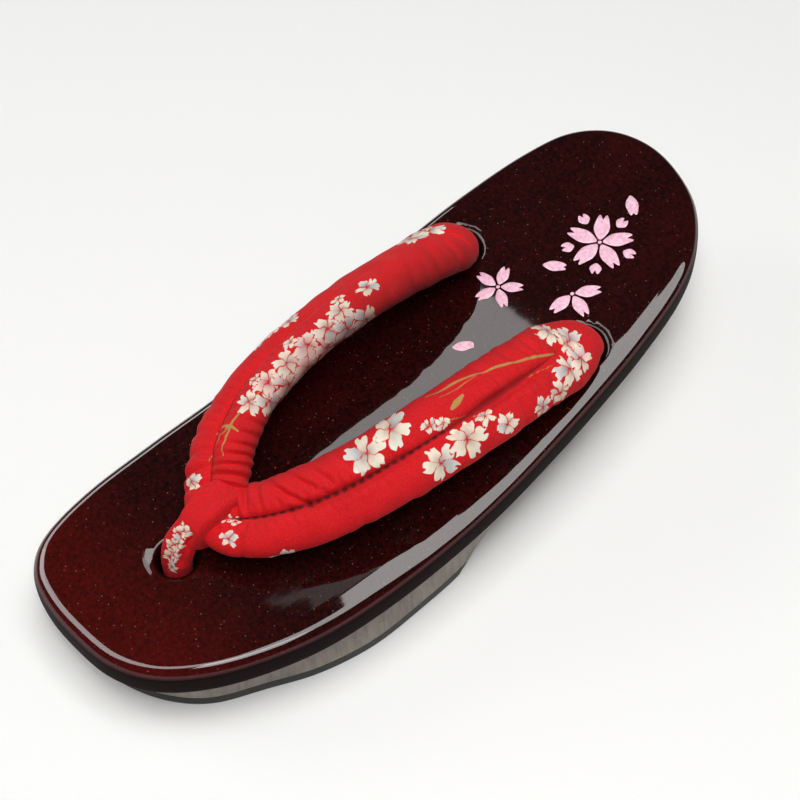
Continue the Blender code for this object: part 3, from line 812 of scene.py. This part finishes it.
def build_deck(look):
    """Rings from the spine out under the deck, round its edge, over the rim and in again to the spine."""
    plan = smooth_closed(DECK_OUTLINE, OUTLINE_STEPS)
    rows = [(inset, rise, 0.0) for inset, rise in DECK_PROFILE]
    profile = smooth_open(rows, PROFILE_STEPS * len(DECK_PROFILE))[:, :2] * MM
    spine = spine_points(plan)
    shares = np.linspace(0, SPINE_REACH, FLAT_RINGS)
    under, over = (inset_evenly(plan, inset) for inset in (profile[0, 0], profile[-1, 0]))
    layers = [(under + (spine - under) * share, -DECK_THICKNESS, FAR, 1.0) for share in shares[:0:-1]]
    for inset, rise in profile:
        edge = math.hypot(inset / MM - ARRIS[0], rise / MM - ARRIS[1])
        # side: where the lacquer's colour is darkened toward black as painted shade, and its coat thinned
        side = np.clip((SATIN_FROM - rise) / SATIN_FADE, 0, 1)
        layers.append((inset_evenly(plan, inset), rise, edge, side))
    layers += [(over + (spine - over) * share, 0.0, FAR, 0.0) for share in shares[1:]]
    rings, edges, sides = [], [], []
    for flat, rise, edge, side in layers:
        rings.append(lifted(flat, rim_height(flat[:, 1]) + rise))
        edges.append(edge)
        sides.append(side)
    deck = surface("deck_lacquered", np.array(rings))
    attribute(deck, "edge", np.repeat(edges, OUTLINE_STEPS))
    attribute(deck, "side", np.repeat(sides, OUTLINE_STEPS))
    cleaned(deck)
    for hole in HOLES:
        boolean(deck, flared_drill(*(size * MM for size in hole)))
    finish_piece(deck, look, 40, ("deck",))


def bridge_underside(y):
    """Height of the arch gap's roof."""
    return float(rim_height(y)) - DECK_THICKNESS - FIT_GAP - BRIDGE_THICKNESS


def front_block_lean():
    """How far the front block's rear face runs back for each unit of height."""
    return (FRONT_BLOCK_TOP_END - FRONT_BLOCK_END) / bridge_underside(FRONT_BLOCK_TOP_END)


def prism(name, side):
    """A cutter across the sandal from (y, z) corners, counter-clockwise seen from the outer side."""
    rings = [np.array([(x, y, z) for y, z in side]) for x in (-CUT_ABOVE, CUT_ABOVE)]
    return surface(name, np.array(rings))


def gap_cutter():
    """The arch gap: sloped in front, upright behind, its two upper corners eased by quarter rounds."""
    lean = front_block_lean()
    rear_roof = bridge_underside(HEEL_BLOCK_START)
    rear = [(HEEL_BLOCK_START - GAP_CORNER * (1 - math.cos(turn)),
             rear_roof - GAP_CORNER * (1 - math.sin(turn))) for turn in np.linspace(0, math.pi / 2, 7)]
    front_roof = bridge_underside(FRONT_BLOCK_TOP_END)
    start = np.array([FRONT_BLOCK_TOP_END + GAP_CORNER, front_roof])
    middle = np.array([FRONT_BLOCK_TOP_END, front_roof])
    end = middle - np.array([lean, 1.0]) * GAP_CORNER
    front = [tuple((1 - share) ** 2 * start + 2 * share * (1 - share) * middle + share ** 2 * end)
             for share in np.linspace(0, 1, 6)]
    side = [(FRONT_BLOCK_END + lean * CUT_BELOW, CUT_BELOW), (HEEL_BLOCK_START, CUT_BELOW)] + rear + front
    return prism("gap", side)


def recess_cutter():
    """The oval recess for the toe knot, open at the floor."""
    x, y, _ = HOLES[0]
    plan = round_plan(x * MM, y * MM, (RECESS["half_width"], RECESS["half_length"]), 72)
    return surface("recess", np.array([lifted(plan, CUT_BELOW), lifted(plan, RECESS["top"])]))


def build_underbody(look):
    """Rings from the floor outline to the deck's inset outline with a shoulder, then sawn and drilled."""
    deck_plan = smooth_closed(DECK_OUTLINE, OUTLINE_STEPS)
    low = smooth_closed(BODY_OUTLINE, OUTLINE_STEPS)
    top = inset_outline(deck_plan, *BODY_TOP_INSET.values())
    floor = OUTSOLE_THICKNESS + FIT_GAP
    roof = rim_height(top[:, 1]) - DECK_THICKNESS - FIT_GAP
    rings = []
    for share in np.linspace(0, 1, BODY_RINGS):
        plan = low + (top - low) * min(share / BODY_SHOULDER, 1.0)
        rings.append(lifted(plan, floor + (roof - floor) * share))
    body = surface("body_carved", np.array(rings))
    boolean(body, gap_cutter())
    for x, y, radius in HOLES:
        plan = round_plan(x, y, (radius, radius), 64) * MM
        boolean(body, surface("drill", np.array([lifted(plan, CUT_BELOW), lifted(plan, CUT_ABOVE)])))
    boolean(body, recess_cutter())
    finish_piece(body, look, 32, ("underbody",))


def build_outsole(name, node_name, front, look):
    """A rubber sheet from the floor outline, its lower edge eased, trimmed square or to the block's lean."""
    plan = smooth_closed(BODY_OUTLINE, OUTLINE_STEPS)
    rings = [lifted(inset_evenly(plan, inset * MM), height * MM) for inset, height in OUTSOLE_PROFILE]
    sheet = surface(name, np.array(rings))
    lean = front_block_lean()
    if front:
        side = [(FRONT_BLOCK_END + lean * CUT_BELOW, CUT_BELOW), (LENGTH, CUT_BELOW), (LENGTH, -CUT_BELOW),
                (FRONT_BLOCK_END - lean * CUT_BELOW, -CUT_BELOW)]
    else:
        side = [(-LENGTH, CUT_BELOW), (HEEL_BLOCK_START, CUT_BELOW), (HEEL_BLOCK_START, -CUT_BELOW),
                (-LENGTH, -CUT_BELOW)]
    boolean(sheet, prism("trim", side))
    if front:
        boolean(sheet, recess_cutter())
    finish_piece(sheet, look, 32, (node_name,))


def path_frames(points, first_up):
    """Side and up directions along a path, the up direction carried along without twist."""
    tangents = np.gradient(points, axis=0)
    tangents /= np.linalg.norm(tangents, axis=1)[:, None]
    up = np.array(first_up, dtype=float)
    ups = []
    for tangent in tangents:
        up = up - tangent * (up @ tangent)
        up /= np.linalg.norm(up)
        ups.append(up)
    ups = np.array(ups)
    return np.cross(tangents, ups), ups


def padded_tube(rows, stations, around, first_up=(0, 0, 1)):
    """Grid of a padded tube: a flat oval whose upper face dips in a narrow trough along its middle line."""
    column = dict(zip(SECTION_COLUMNS, smooth_open(rows, stations).T))
    points = np.stack([column["x"], column["y"], column["lift"]], axis=1) * MM
    points[:, 2] += rim_height(points[:, 1])
    sides, ups = path_frames(points, first_up)
    lean = np.radians(column["tilt"])[:, None]
    broad = sides * np.cos(lean) + ups * np.sin(lean)
    upper = ups * np.cos(lean) - sides * np.sin(lean)
    turn = np.linspace(0, 2 * math.pi, around, endpoint=False) + math.pi / 2
    across = np.cos(turn) * column["width"][:, None] * MM / 2
    over = np.sin(turn) * column["thickness"][:, None] * MM / 2
    reach = np.abs(np.cos(turn))
    trough = (TROUGH["dip"] * np.exp(-(reach / TROUGH["dip_reach"]) ** 2)
              + TROUGH["slit"] * np.exp(-reach / TROUGH["slit_reach"])) * (np.sin(turn) > 0)
    over = over - column["crease"][:, None] * CREASE_DEPTH * trough
    grid = points[:, None, :] + across[..., None] * broad[:, None, :] + over[..., None] * upper[:, None, :]
    return grid, column


def surface_lengths(grid):
    """For each point of a tube's grid, its way along the tube and its signed way round from the crease."""
    middles = grid.mean(axis=1)
    along = np.concatenate([[0], np.cumsum(np.linalg.norm(np.diff(middles, axis=0), axis=1))])
    steps = np.linalg.norm(np.diff(grid, axis=1, append=grid[:, :1]), axis=2)
    travelled = np.cumsum(steps, axis=1) - steps
    total = steps.sum(axis=1, keepdims=True)
    around = np.where(travelled > total / 2, travelled - total, travelled)
    return np.broadcast_to(along[:, None], around.shape) / MM, around / MM


def grid_normals(grid):
    """Outward directions of a tube's grid, from the cross product of its two steps."""
    step_along = np.gradient(grid, axis=0)
    step_round = (np.roll(grid, -1, axis=1) - np.roll(grid, 1, axis=1)) / 2
    normals = np.cross(step_along, step_round)
    return normals / np.maximum(np.linalg.norm(normals, axis=2, keepdims=True), 1e-12)


def petal_reach(place, length, notch):
    """How far a petal runs at a share of its half width: less at the middle's notch and at the corners."""
    place = np.abs(place)
    return length * (1 - notch * np.clip(1 - place / PETAL_FULL, 0, 1) ** 1.2
                     - PETAL_CORNER * np.clip((place - PETAL_FULL) / (1 - PETAL_FULL), 0, 1) ** 2.2)


def petal_half_width(share, width):
    """Half width of a petal at a share of its length: a sine cut short, so that the tip stays broad."""
    return width / 2 * np.sin(np.pi * PETAL_ARCH * np.clip(share, 0, 1)) ** 0.85


def flower_field(along, around, row):
    """Signed distance to a five-petalled flower: copies of one petal, folded into a 72 degree wedge."""
    centre_along, centre_around, radius, turn, _ = row
    x, y = along - centre_along, around - centre_around
    reach = np.hypot(x, y)
    wedge = 2 * math.pi / 5
    swing = np.arctan2(y, x) - math.radians(turn) + wedge / 2
    angle = swing % wedge - wedge / 2
    seed = (swing // wedge % 5) * 12.9 + centre_along * 7.7 + centre_around * 3.1
    chance = np.modf(np.abs(np.sin(seed)) * 437.5)[0]
    length = radius * (PETAL_SIZES[0] + PETAL_SIZES[1] * chance)
    length_way, width_way = reach * np.cos(angle), reach * np.sin(angle)
    half = np.minimum(petal_half_width(length_way / length, length * PETAL_BREADTH),
                      length_way * math.tan(wedge / 2) - PETAL_GAP / 2)
    place = np.clip(np.abs(width_way) / np.maximum(half, 0.05), 0, 1)
    beyond = length_way - petal_reach(place, length, PETAL_NOTCH)
    return np.maximum(np.abs(width_way) - half, beyond), reach / length, chance


def print_fields(along, around, flowers, branches):
    """Fields of the whole print. Flowers are laid one on the next, each with a thin gap cut round it."""
    swayed_along = along + BRUSH_SWAY * np.sin(around / 0.61 + 1.7 * np.sin(along / 0.93))
    swayed_around = around + BRUSH_SWAY * np.sin(along / 0.57 + 1.9 * np.sin(around / 1.07))
    petal, branch = (np.full(along.shape, UNPRINTED) for _ in range(2))
    heart, tint, shade = (np.zeros(along.shape) for _ in range(3))
    for row in flowers:
        centre_along, centre_around, radius, _, pinkness = row
        near = np.hypot(along - centre_along, around - centre_around) < radius + 1.0
        distance, share, chance = flower_field(swayed_along[near], swayed_around[near], row)
        petal[near] = np.minimum(distance, np.maximum(petal[near], PETAL_GAP - distance))
        on_top = distance < PETAL_GAP / 2
        for field, value in ((heart, share), (tint, pinkness * (0.7 + 0.3 * chance)), (shade, chance)):
            field[near] = np.where(on_top, value, field[near])
    for line in branches:
        for start, end in zip(line[:-1], line[1:]):
            run = np.array([end[0] - start[0], end[1] - start[1]])
            share = np.clip(((along - start[0]) * run[0] + (around - start[1]) * run[1]) / (run @ run), 0, 1)
            gap = np.hypot(along - start[0] - share * run[0], around - start[1] - share * run[1])
            branch = np.minimum(branch, gap - (start[2] + (end[2] - start[2]) * share) / 2)
    return {"petal": petal, "heart": heart, "tint": tint, "shade": shade, "branch": branch}


def wrinkle_depth(along, around, wrinkles):
    """Sum of soft troughs: each a Gaussian across its line, with low swells beside it and fading ends."""
    depth = np.zeros(along.shape)
    for place_along, place_around, length, width, deep, turn in wrinkles:
        x, y = along - place_along, around - place_around
        lean = math.radians(turn)
        run = x * math.cos(lean) + y * math.sin(lean)
        off = y * math.cos(lean) - x * math.sin(lean) + WRINKLE_BOW * run ** 2 / length
        fade = np.exp(-(run / length) ** 2)
        trough = np.exp(-(off / width) ** 2)
        swell = np.exp(-((np.abs(off) - WRINKLE_SWELL["off"] * width) / width) ** 2)
        depth += deep * fade * (trough - WRINKLE_SWELL["height"] * swell)
    return depth * MM


def rumple(along, around):
    """Low uneven swells of the stuffing: products of slow waves along and round the strap."""
    broad = np.sin(along / 3.1 + 1.3 * np.sin(around / 4.7)) * np.cos(around / 3.9 + along / 9.3)
    fine = np.sin(along / 1.45 + around / 2.3) * np.cos(around / 6.1 - along / 17.0)
    return RUMPLE_DEPTH * (broad + 0.6 * fine)


def build_strap(name, rows, flowers, branches, wrinkles, look):
    """A padded tube pressed in by its creases, puckered by its stitches, and printed by fields."""
    grid, column = padded_tube(rows, STRAP_STATIONS, STRAP_AROUND)
    along, around = surface_lengths(grid)
    depth = wrinkle_depth(along, around, wrinkles)
    seam = np.abs(around)
    creased = np.clip(column["crease"][:, None], 0, 1)
    stitches = np.cos(2 * math.pi * along / STITCH_PITCH)
    beside_seam = np.exp(-((seam - PUCKER["from_seam"]) / PUCKER["width"]) ** 2)
    pucker = PUCKER["depth"] * stitches * beside_seam * creased
    grid = grid - grid_normals(grid) * (depth + pucker + rumple(along, around))[..., None]
    made = surface(name, grid)
    made.data.flip_normals()
    fields = print_fields(along, around, flowers, branches)
    # seam: distance from the crease, read for the seam line and for the painted shade down the strap's sides
    fields["seam"] = seam + 3.0 * (1 - creased)
    # past the stitched length the seam line stays a plain darker red, painted shade in the crease
    fields["stitch"] = np.where(along < STITCHED[name], 0.5 + 0.5 * stitches, 0.2)
    for field, values in fields.items():
        attribute(made, field, values)
    cloth_map(made, np.stack([along, around], axis=-1).reshape(-1, 2) * MM)
    finish_piece(made, look, 80)
    return made


def cloth_map(made, places):
    """A UV map in metres, from one pair of numbers per point."""
    layer = made.data.uv_layers.new(name="cloth")
    corners = np.empty(len(made.data.loops), dtype=np.int32)
    made.data.loops.foreach_get("vertex_index", corners)
    layer.data.foreach_set("uv", places[corners].astype(np.float32).ravel())


def loop_band():
    """The band round the join: its edge profile carried round an ellipse, wide on top and narrow in front."""
    centre = np.array(LOOP_CENTRE) * MM
    centre[2] += float(rim_height(centre[1]))
    turn = np.linspace(0, 2 * math.pi, 96, endpoint=False)
    lean = math.radians(LOOP_LEAN)
    sideways = np.array([1.0, 0.0, 0.0])
    rearward = np.array([0.0, math.cos(lean), math.sin(lean)])
    upward = np.cross(sideways, rearward)
    middle = (LOOP_WIDTH["top"] + LOOP_WIDTH["front"]) / 2
    widths = middle + (LOOP_WIDTH["top"] - middle) * np.sin(turn + math.radians(LOOP_WIDEST))
    rings = []
    for across, share in LOOP_EDGE:
        rear_radius, top_radius = np.array(LOOP_RADII) + LOOP_THICKNESS * share
        circle = np.cos(turn)[:, None] * rear_radius * rearward + np.sin(turn)[:, None] * top_radius * upward
        rings.append(centre + sideways * (across * widths)[:, None] + circle)
    return surface("toe_loop_cloth", np.array(rings))


def point_vectors(mesh, name):
    """A mesh's places or normals, one row per point."""
    values = np.empty(len(mesh.vertices) * 3)
    mesh.vertices.foreach_get(name, values)
    return values.reshape(-1, 3)


def build_toe_loop(look):
    """A folded post and a band round the join, each a loft, made one skin by a voxel remesh and eased.

    The print lies on the post's front face. Pleats are a cosine across the loop, the fold a Gaussian trough.
    """
    loop = loop_band()
    cleaned(loop)
    post = surface("post", padded_tube(TOE_POST, 60, 48, first_up=(0, -1, 0))[0])
    cleaned(post)
    boolean(loop, post, "UNION")
    skin = loop.modifiers.new("skin", "REMESH")
    skin.mode = "VOXEL"
    skin.voxel_size = LOOP_VOXEL
    loop.modifiers.new("ease", "SMOOTH").iterations = LOOP_EASING
    settled(loop)
    points, normals = (point_vectors(loop.data, name) for name in ("co", "normal"))
    top, foot = (np.array(POST_FACE[end]) for end in ("top", "foot"))
    span = np.linalg.norm(foot - top)
    along = (points / MM - top) @ (foot - top) / span
    around = points[:, 0] / MM - top[0] - along * (foot[0] - top[0]) / span
    facing = (normals @ np.array(POST_FACING) > 0) & (points[:, 1] < (LOOP_CENTRE[1] - POST_FRONT) * MM)
    fields = print_fields(along, np.where(facing, around, AWAY_FROM_PRINT), LOOP_FLOWERS, ())
    fields["seam"] = np.full(len(points), AWAY_FROM_SEAM)
    fields["stitch"] = np.zeros(len(points))
    for field, values in fields.items():
        attribute(loop, field, values)
    slanted = (points[:, 0] + LOOP_PLEATS["lean"] * points[:, 1]) / MM
    pleat = np.cos(2 * math.pi * slanted / LOOP_PLEATS["pitch"])
    pressed = np.clip(LOOP_PLEATS["cut"] - pleat, 0, None) ** 2
    sunk = LOOP_PLEATS["depth"] * pressed * (1 - np.abs(normals[:, 0]))
    within = np.clip(np.minimum(along - POST_FOLD["from"], POST_FOLD["to"] - along) / POST_FOLD["fade"], 0, 1)
    fold = within * np.exp(-((around - POST_FOLD["around"]) / POST_FOLD["width"]) ** 2)
    sunk += np.where(facing, POST_FOLD["depth"] * fold, 0.0)
    loop.data.vertices.foreach_set("co", (points - normals * sunk[:, None]).ravel())
    cloth_map(loop, points[:, [0, 2]] + points[:, [1, 1]] * 0.7)
    finish_piece(loop, look, 80, ("toe_loop",))


def petal_grid(x, y, length, width, turn, notch):
    """A petal as rings across it, one for each step of its length: a thin top on the deck, the rest sunk."""
    share = np.linspace(0.02, 1, PETAL_STEPS[0])[:, None]
    place = np.linspace(-1, 1, PETAL_STEPS[1])[None, :]
    reach = petal_reach(place, length, notch) * share
    off = petal_half_width(share, width) * place
    lean = math.radians(turn)
    px = (x + reach * math.cos(lean) - off * math.sin(lean)) * MM
    py = (y + reach * math.sin(lean) + off * math.cos(lean)) * MM
    rim = (np.abs(place) > 0.999) | (share > 0.999) | (share < 0.03)
    upper = np.stack([px, py, rim_height(py) + np.where(rim, PAINT_RIM, PAINT_THICKNESS)], axis=-1)
    lower = np.stack([px, py, rim_height(py) + PAINT_FOOT], axis=-1)[:, ::-1]
    return np.concatenate([upper, lower], axis=1)


def stepped(x, y, distance, turn):
    """A place moved some way in a direction."""
    return x + distance * math.cos(math.radians(turn)), y + distance * math.sin(math.radians(turn))


def build_deck_blossoms(look):
    """Every painted petal, joined into one piece. The ring's are hearts: short, broad, deeply notched."""
    grids = []
    for x, y, radius, turn, petals in DECK_BLOSSOMS:
        for angle in (turn + 72 * index for index in petals):
            length, width = radius - DECK_PETAL["shorter"], radius * DECK_PETAL["breadth"]
            foot = stepped(x, y, DECK_PETAL["offset"], angle)
            grids.append(petal_grid(*foot, length, width, angle, DECK_PETAL["notch"]))
        grids.append(petal_grid(x - DECK_EYE["offset"], y, DECK_EYE["length"], DECK_EYE["width"], 0, 0.0))
    x, y, _, turn, _ = DECK_BLOSSOMS[HEART_RING["blossom"]]
    for angle in (turn + 36 + 72 * index for index in range(5)):
        grids.append(petal_grid(*stepped(x, y, HEART_RING["distance"], angle), HEART_RING["length"],
                                HEART_RING["width"], angle, HEART_RING["notch"]))
    for x, y, length, turn, notch in LONE_PETALS:
        grids.append(petal_grid(x, y, length, length * LONE_BREADTH, turn, notch))
    petals = [surface("petal", grid) for grid in grids]
    for petal in petals:
        cleaned(petal)
    finish_piece(joined("deck_blossoms", petals), look, 60)


def joined(name, pieces):
    """Joins meshes into the first one and names it."""
    work = bmesh.new()
    for piece in pieces:
        work.from_mesh(piece.data)
    work.to_mesh(pieces[0].data)
    work.free()
    for piece in pieces[1:]:
        bpy.data.objects.remove(piece)
    pieces[0].name = name
    return pieces[0]


def twisted_cord(name, path, radius, around=30):
    """A cord along a path: its radius rises and falls round it in three strands, which turn as they run."""
    first = np.abs(path[1] - path[0])
    sides, ups = path_frames(path, (0.02, 0.05, 1.0) if first[2] < first.max() else (0, 1, 0))
    run = np.concatenate([[0], np.cumsum(np.linalg.norm(np.diff(path, axis=0), axis=1))])
    turn = np.linspace(0, 2 * math.pi, around, endpoint=False)
    phase = STRANDS * turn[None, :] + 2 * math.pi * run[:, None] / STRAND_PITCH * STRANDS
    reach = radius * (STRAND_RIDGE[0] + STRAND_RIDGE[1] * np.abs(np.cos(phase / 2)))
    from_end = np.minimum(run, run[-1] - run)[:, None]
    reach *= np.clip(from_end / (radius * CORD_END["length"]), CORD_END["least"], 1) ** 0.5
    grid = path[:, None, :] + reach[..., None] * (np.cos(turn)[None, :, None] * sides[:, None, :]
                                                  + np.sin(turn)[None, :, None] * ups[:, None, :])
    made = surface(name, grid)
    cleaned(made)
    return made


def build_knot(name, node_name, look):
    """A three-leaved knot where its solid lies, with tails: (sin t + 2 sin 2t, cos t - 2 cos 2t, -sin 3t)."""
    low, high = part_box(node_name)
    centre = np.array([(low.x + high.x) / 2, (low.y + high.y) / 2, low.z + KNOT_REACH[2] + KNOT_CORD_RADIUS])
    t = np.linspace(0.25, 2 * math.pi + 0.1, 220)
    leaf = np.stack([(np.sin(t) + 2 * np.sin(2 * t)) / 3, (np.cos(t) - 2 * np.cos(2 * t)) / 3,
                     -np.sin(3 * t)], axis=1)
    parts = [twisted_cord("turns", centre + leaf * np.array(KNOT_REACH), KNOT_CORD_RADIUS)]
    step = np.linspace(0, 1, 24)[:, None]
    bow = np.sin(step * math.pi) * np.array(KNOT_TAIL_BOW)
    rise = step * np.array([0, 0, high.z - centre[2] - RISER_SHORT])
    thin = KNOT_CORD_RADIUS * KNOT_TAIL_THIN
    for side in (-1, 1):
        parts.append(twisted_cord("tail", centre + step * np.array(KNOT_TAIL) * (side, 1, 1) + bow, thin))
        apart = np.array([side * KNOT_CORD_RADIUS * RISER_APART, 0, 0])
        parts.append(twisted_cord("riser", centre + apart + rise, thin))
    finish_piece(joined(name, parts), look, 80, (node_name,))


def mirrored(x, y, lean=0.0):
    """Where a camera ray goes once the deck mirrors it: less twice its part along the leaning normal."""
    place = np.array([x * MM, y * MM, float(rim_height(y * MM))])
    ray = place - np.array(CAMERA_PLACE)
    ray /= np.linalg.norm(ray)
    away = place[:2] - spine_points(place[None, :2])[0]
    outward = away / np.linalg.norm(away) * math.tan(math.radians(lean))
    normal = np.array([outward[0], outward[1] - (HEEL_HEIGHT - TOE_HEIGHT) / LENGTH, 1.0])
    normal /= np.linalg.norm(normal)
    return tuple(place + (ray - 2 * (ray @ normal) * normal) * CARD_DISTANCE)


def sheet_mesh(name, points, faces):
    """A flat mesh for the stage."""
    mesh = bpy.data.meshes.new(name)
    mesh.from_pydata(points, [], faces)
    return placed(name, mesh)


def light_card(name, points, faces, radiance):
    """A glowing card that only polished surfaces show: it lights no cloth and throws no shadow."""
    card = sheet_mesh(name, points, faces)
    look, _, shader = new_material(name, 1.0)
    shader.inputs["Base Color"].default_value = (0, 0, 0, 1)
    shader.inputs["Emission Color"].default_value = (1.0, 0.98, 0.98, 1)
    shader.inputs["Emission Strength"].default_value = radiance
    card.data.materials.append(look)
    card.visible_camera = False
    card.visible_diffuse = False
    card.visible_shadow = False


def aim(thing, place, target):
    """Puts a lamp or the camera somewhere and turns it toward a point."""
    thing.location = place
    thing.rotation_euler = (Vector(target) - Vector(place)).to_track_quat("-Z", "Y").to_euler()


def soft_box(name, place, target, side, watts, glossy):
    """A square lamp facing a point, which polished surfaces need not show."""
    lamp = placed(name, bpy.data.lights.new(name, "AREA"))
    lamp.data.shape = "RECTANGLE"
    lamp.data.size = lamp.data.size_y = side
    lamp.data.energy = watts
    lamp.visible_glossy = glossy
    aim(lamp, place, target)


def main():
    """Builds every piece."""
    lacquer = lacquered_wood()
    rubber = sole_rubber()
    cloth = crepe_cotton()
    cord = cotton_cord()
    build_deck(lacquer)
    build_deck_blossoms(petal_paint())
    build_underbody(painted_body())
    build_outsole("front_sheet", "front_outsole", True, rubber)
    build_outsole("heel_sheet", "heel_outsole", False, rubber)
    inner = build_strap("strap_inner", MEDIAL_STRAP, INNER_FLOWERS, INNER_BRANCHES, INNER_WRINKLES, cloth)
    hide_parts("straps")
    build_strap("strap_outer", LATERAL_STRAP, OUTER_FLOWERS, OUTER_BRANCHES, OUTER_WRINKLES, cloth)
    build_toe_loop(cloth)
    for name in ("toe_knot", "tie_knot_medial", "tie_knot_lateral"):
        build_knot(name + "_cord", name, cord)


main()

camera = placed("camera", bpy.data.cameras.new("camera"))
aim(camera, CAMERA_PLACE, CAMERA_TARGET)
camera.data.sensor_width = SENSOR_WIDTH
camera.data.lens = LENS
bpy.context.scene.camera = camera

floor = sheet_mesh("floor", [(-3, -3, 0), (3, -3, 0), (3, 3, 0), (-3, 3, 0)], [(0, 1, 2, 3)])
floor_look, _, floor_shader = new_material("pale paper floor", 0.8)
floor_shader.inputs["Base Color"].default_value = colour("F4F4F2")
floor.data.materials.append(floor_look)

for name, corners, radiance in (("window_card", WINDOW_CORNERS, WINDOW_RADIANCE),
                                ("glow_card", GLOW_CORNERS, GLOW_RADIANCE)):
    light_card(name, [mirrored(x, y) for x, y in corners], [tuple(range(len(corners)))], radiance)
rim_points = [mirrored(x, y, lean) for x, y, least, most in RIM_CARD for lean in (least, most)]
rim_faces = [(start, start + 1, start + 3, start + 2) for start in range(0, 2 * len(RIM_CARD) - 2, 2)]
light_card("rim_card", rim_points, rim_faces, RIM_RADIANCE)
for row in SOFT_BOXES:
    soft_box(*row)

world = bpy.data.worlds.new("soft studio")
world.use_nodes = True
sky = world.node_tree.nodes["Background"]
sky.inputs["Color"].default_value = (1, 1, 1, 1)
sky.inputs["Strength"].default_value = WORLD_STRENGTH
bpy.context.scene.world = world
bpy.context.scene.view_settings.view_transform = "Standard"
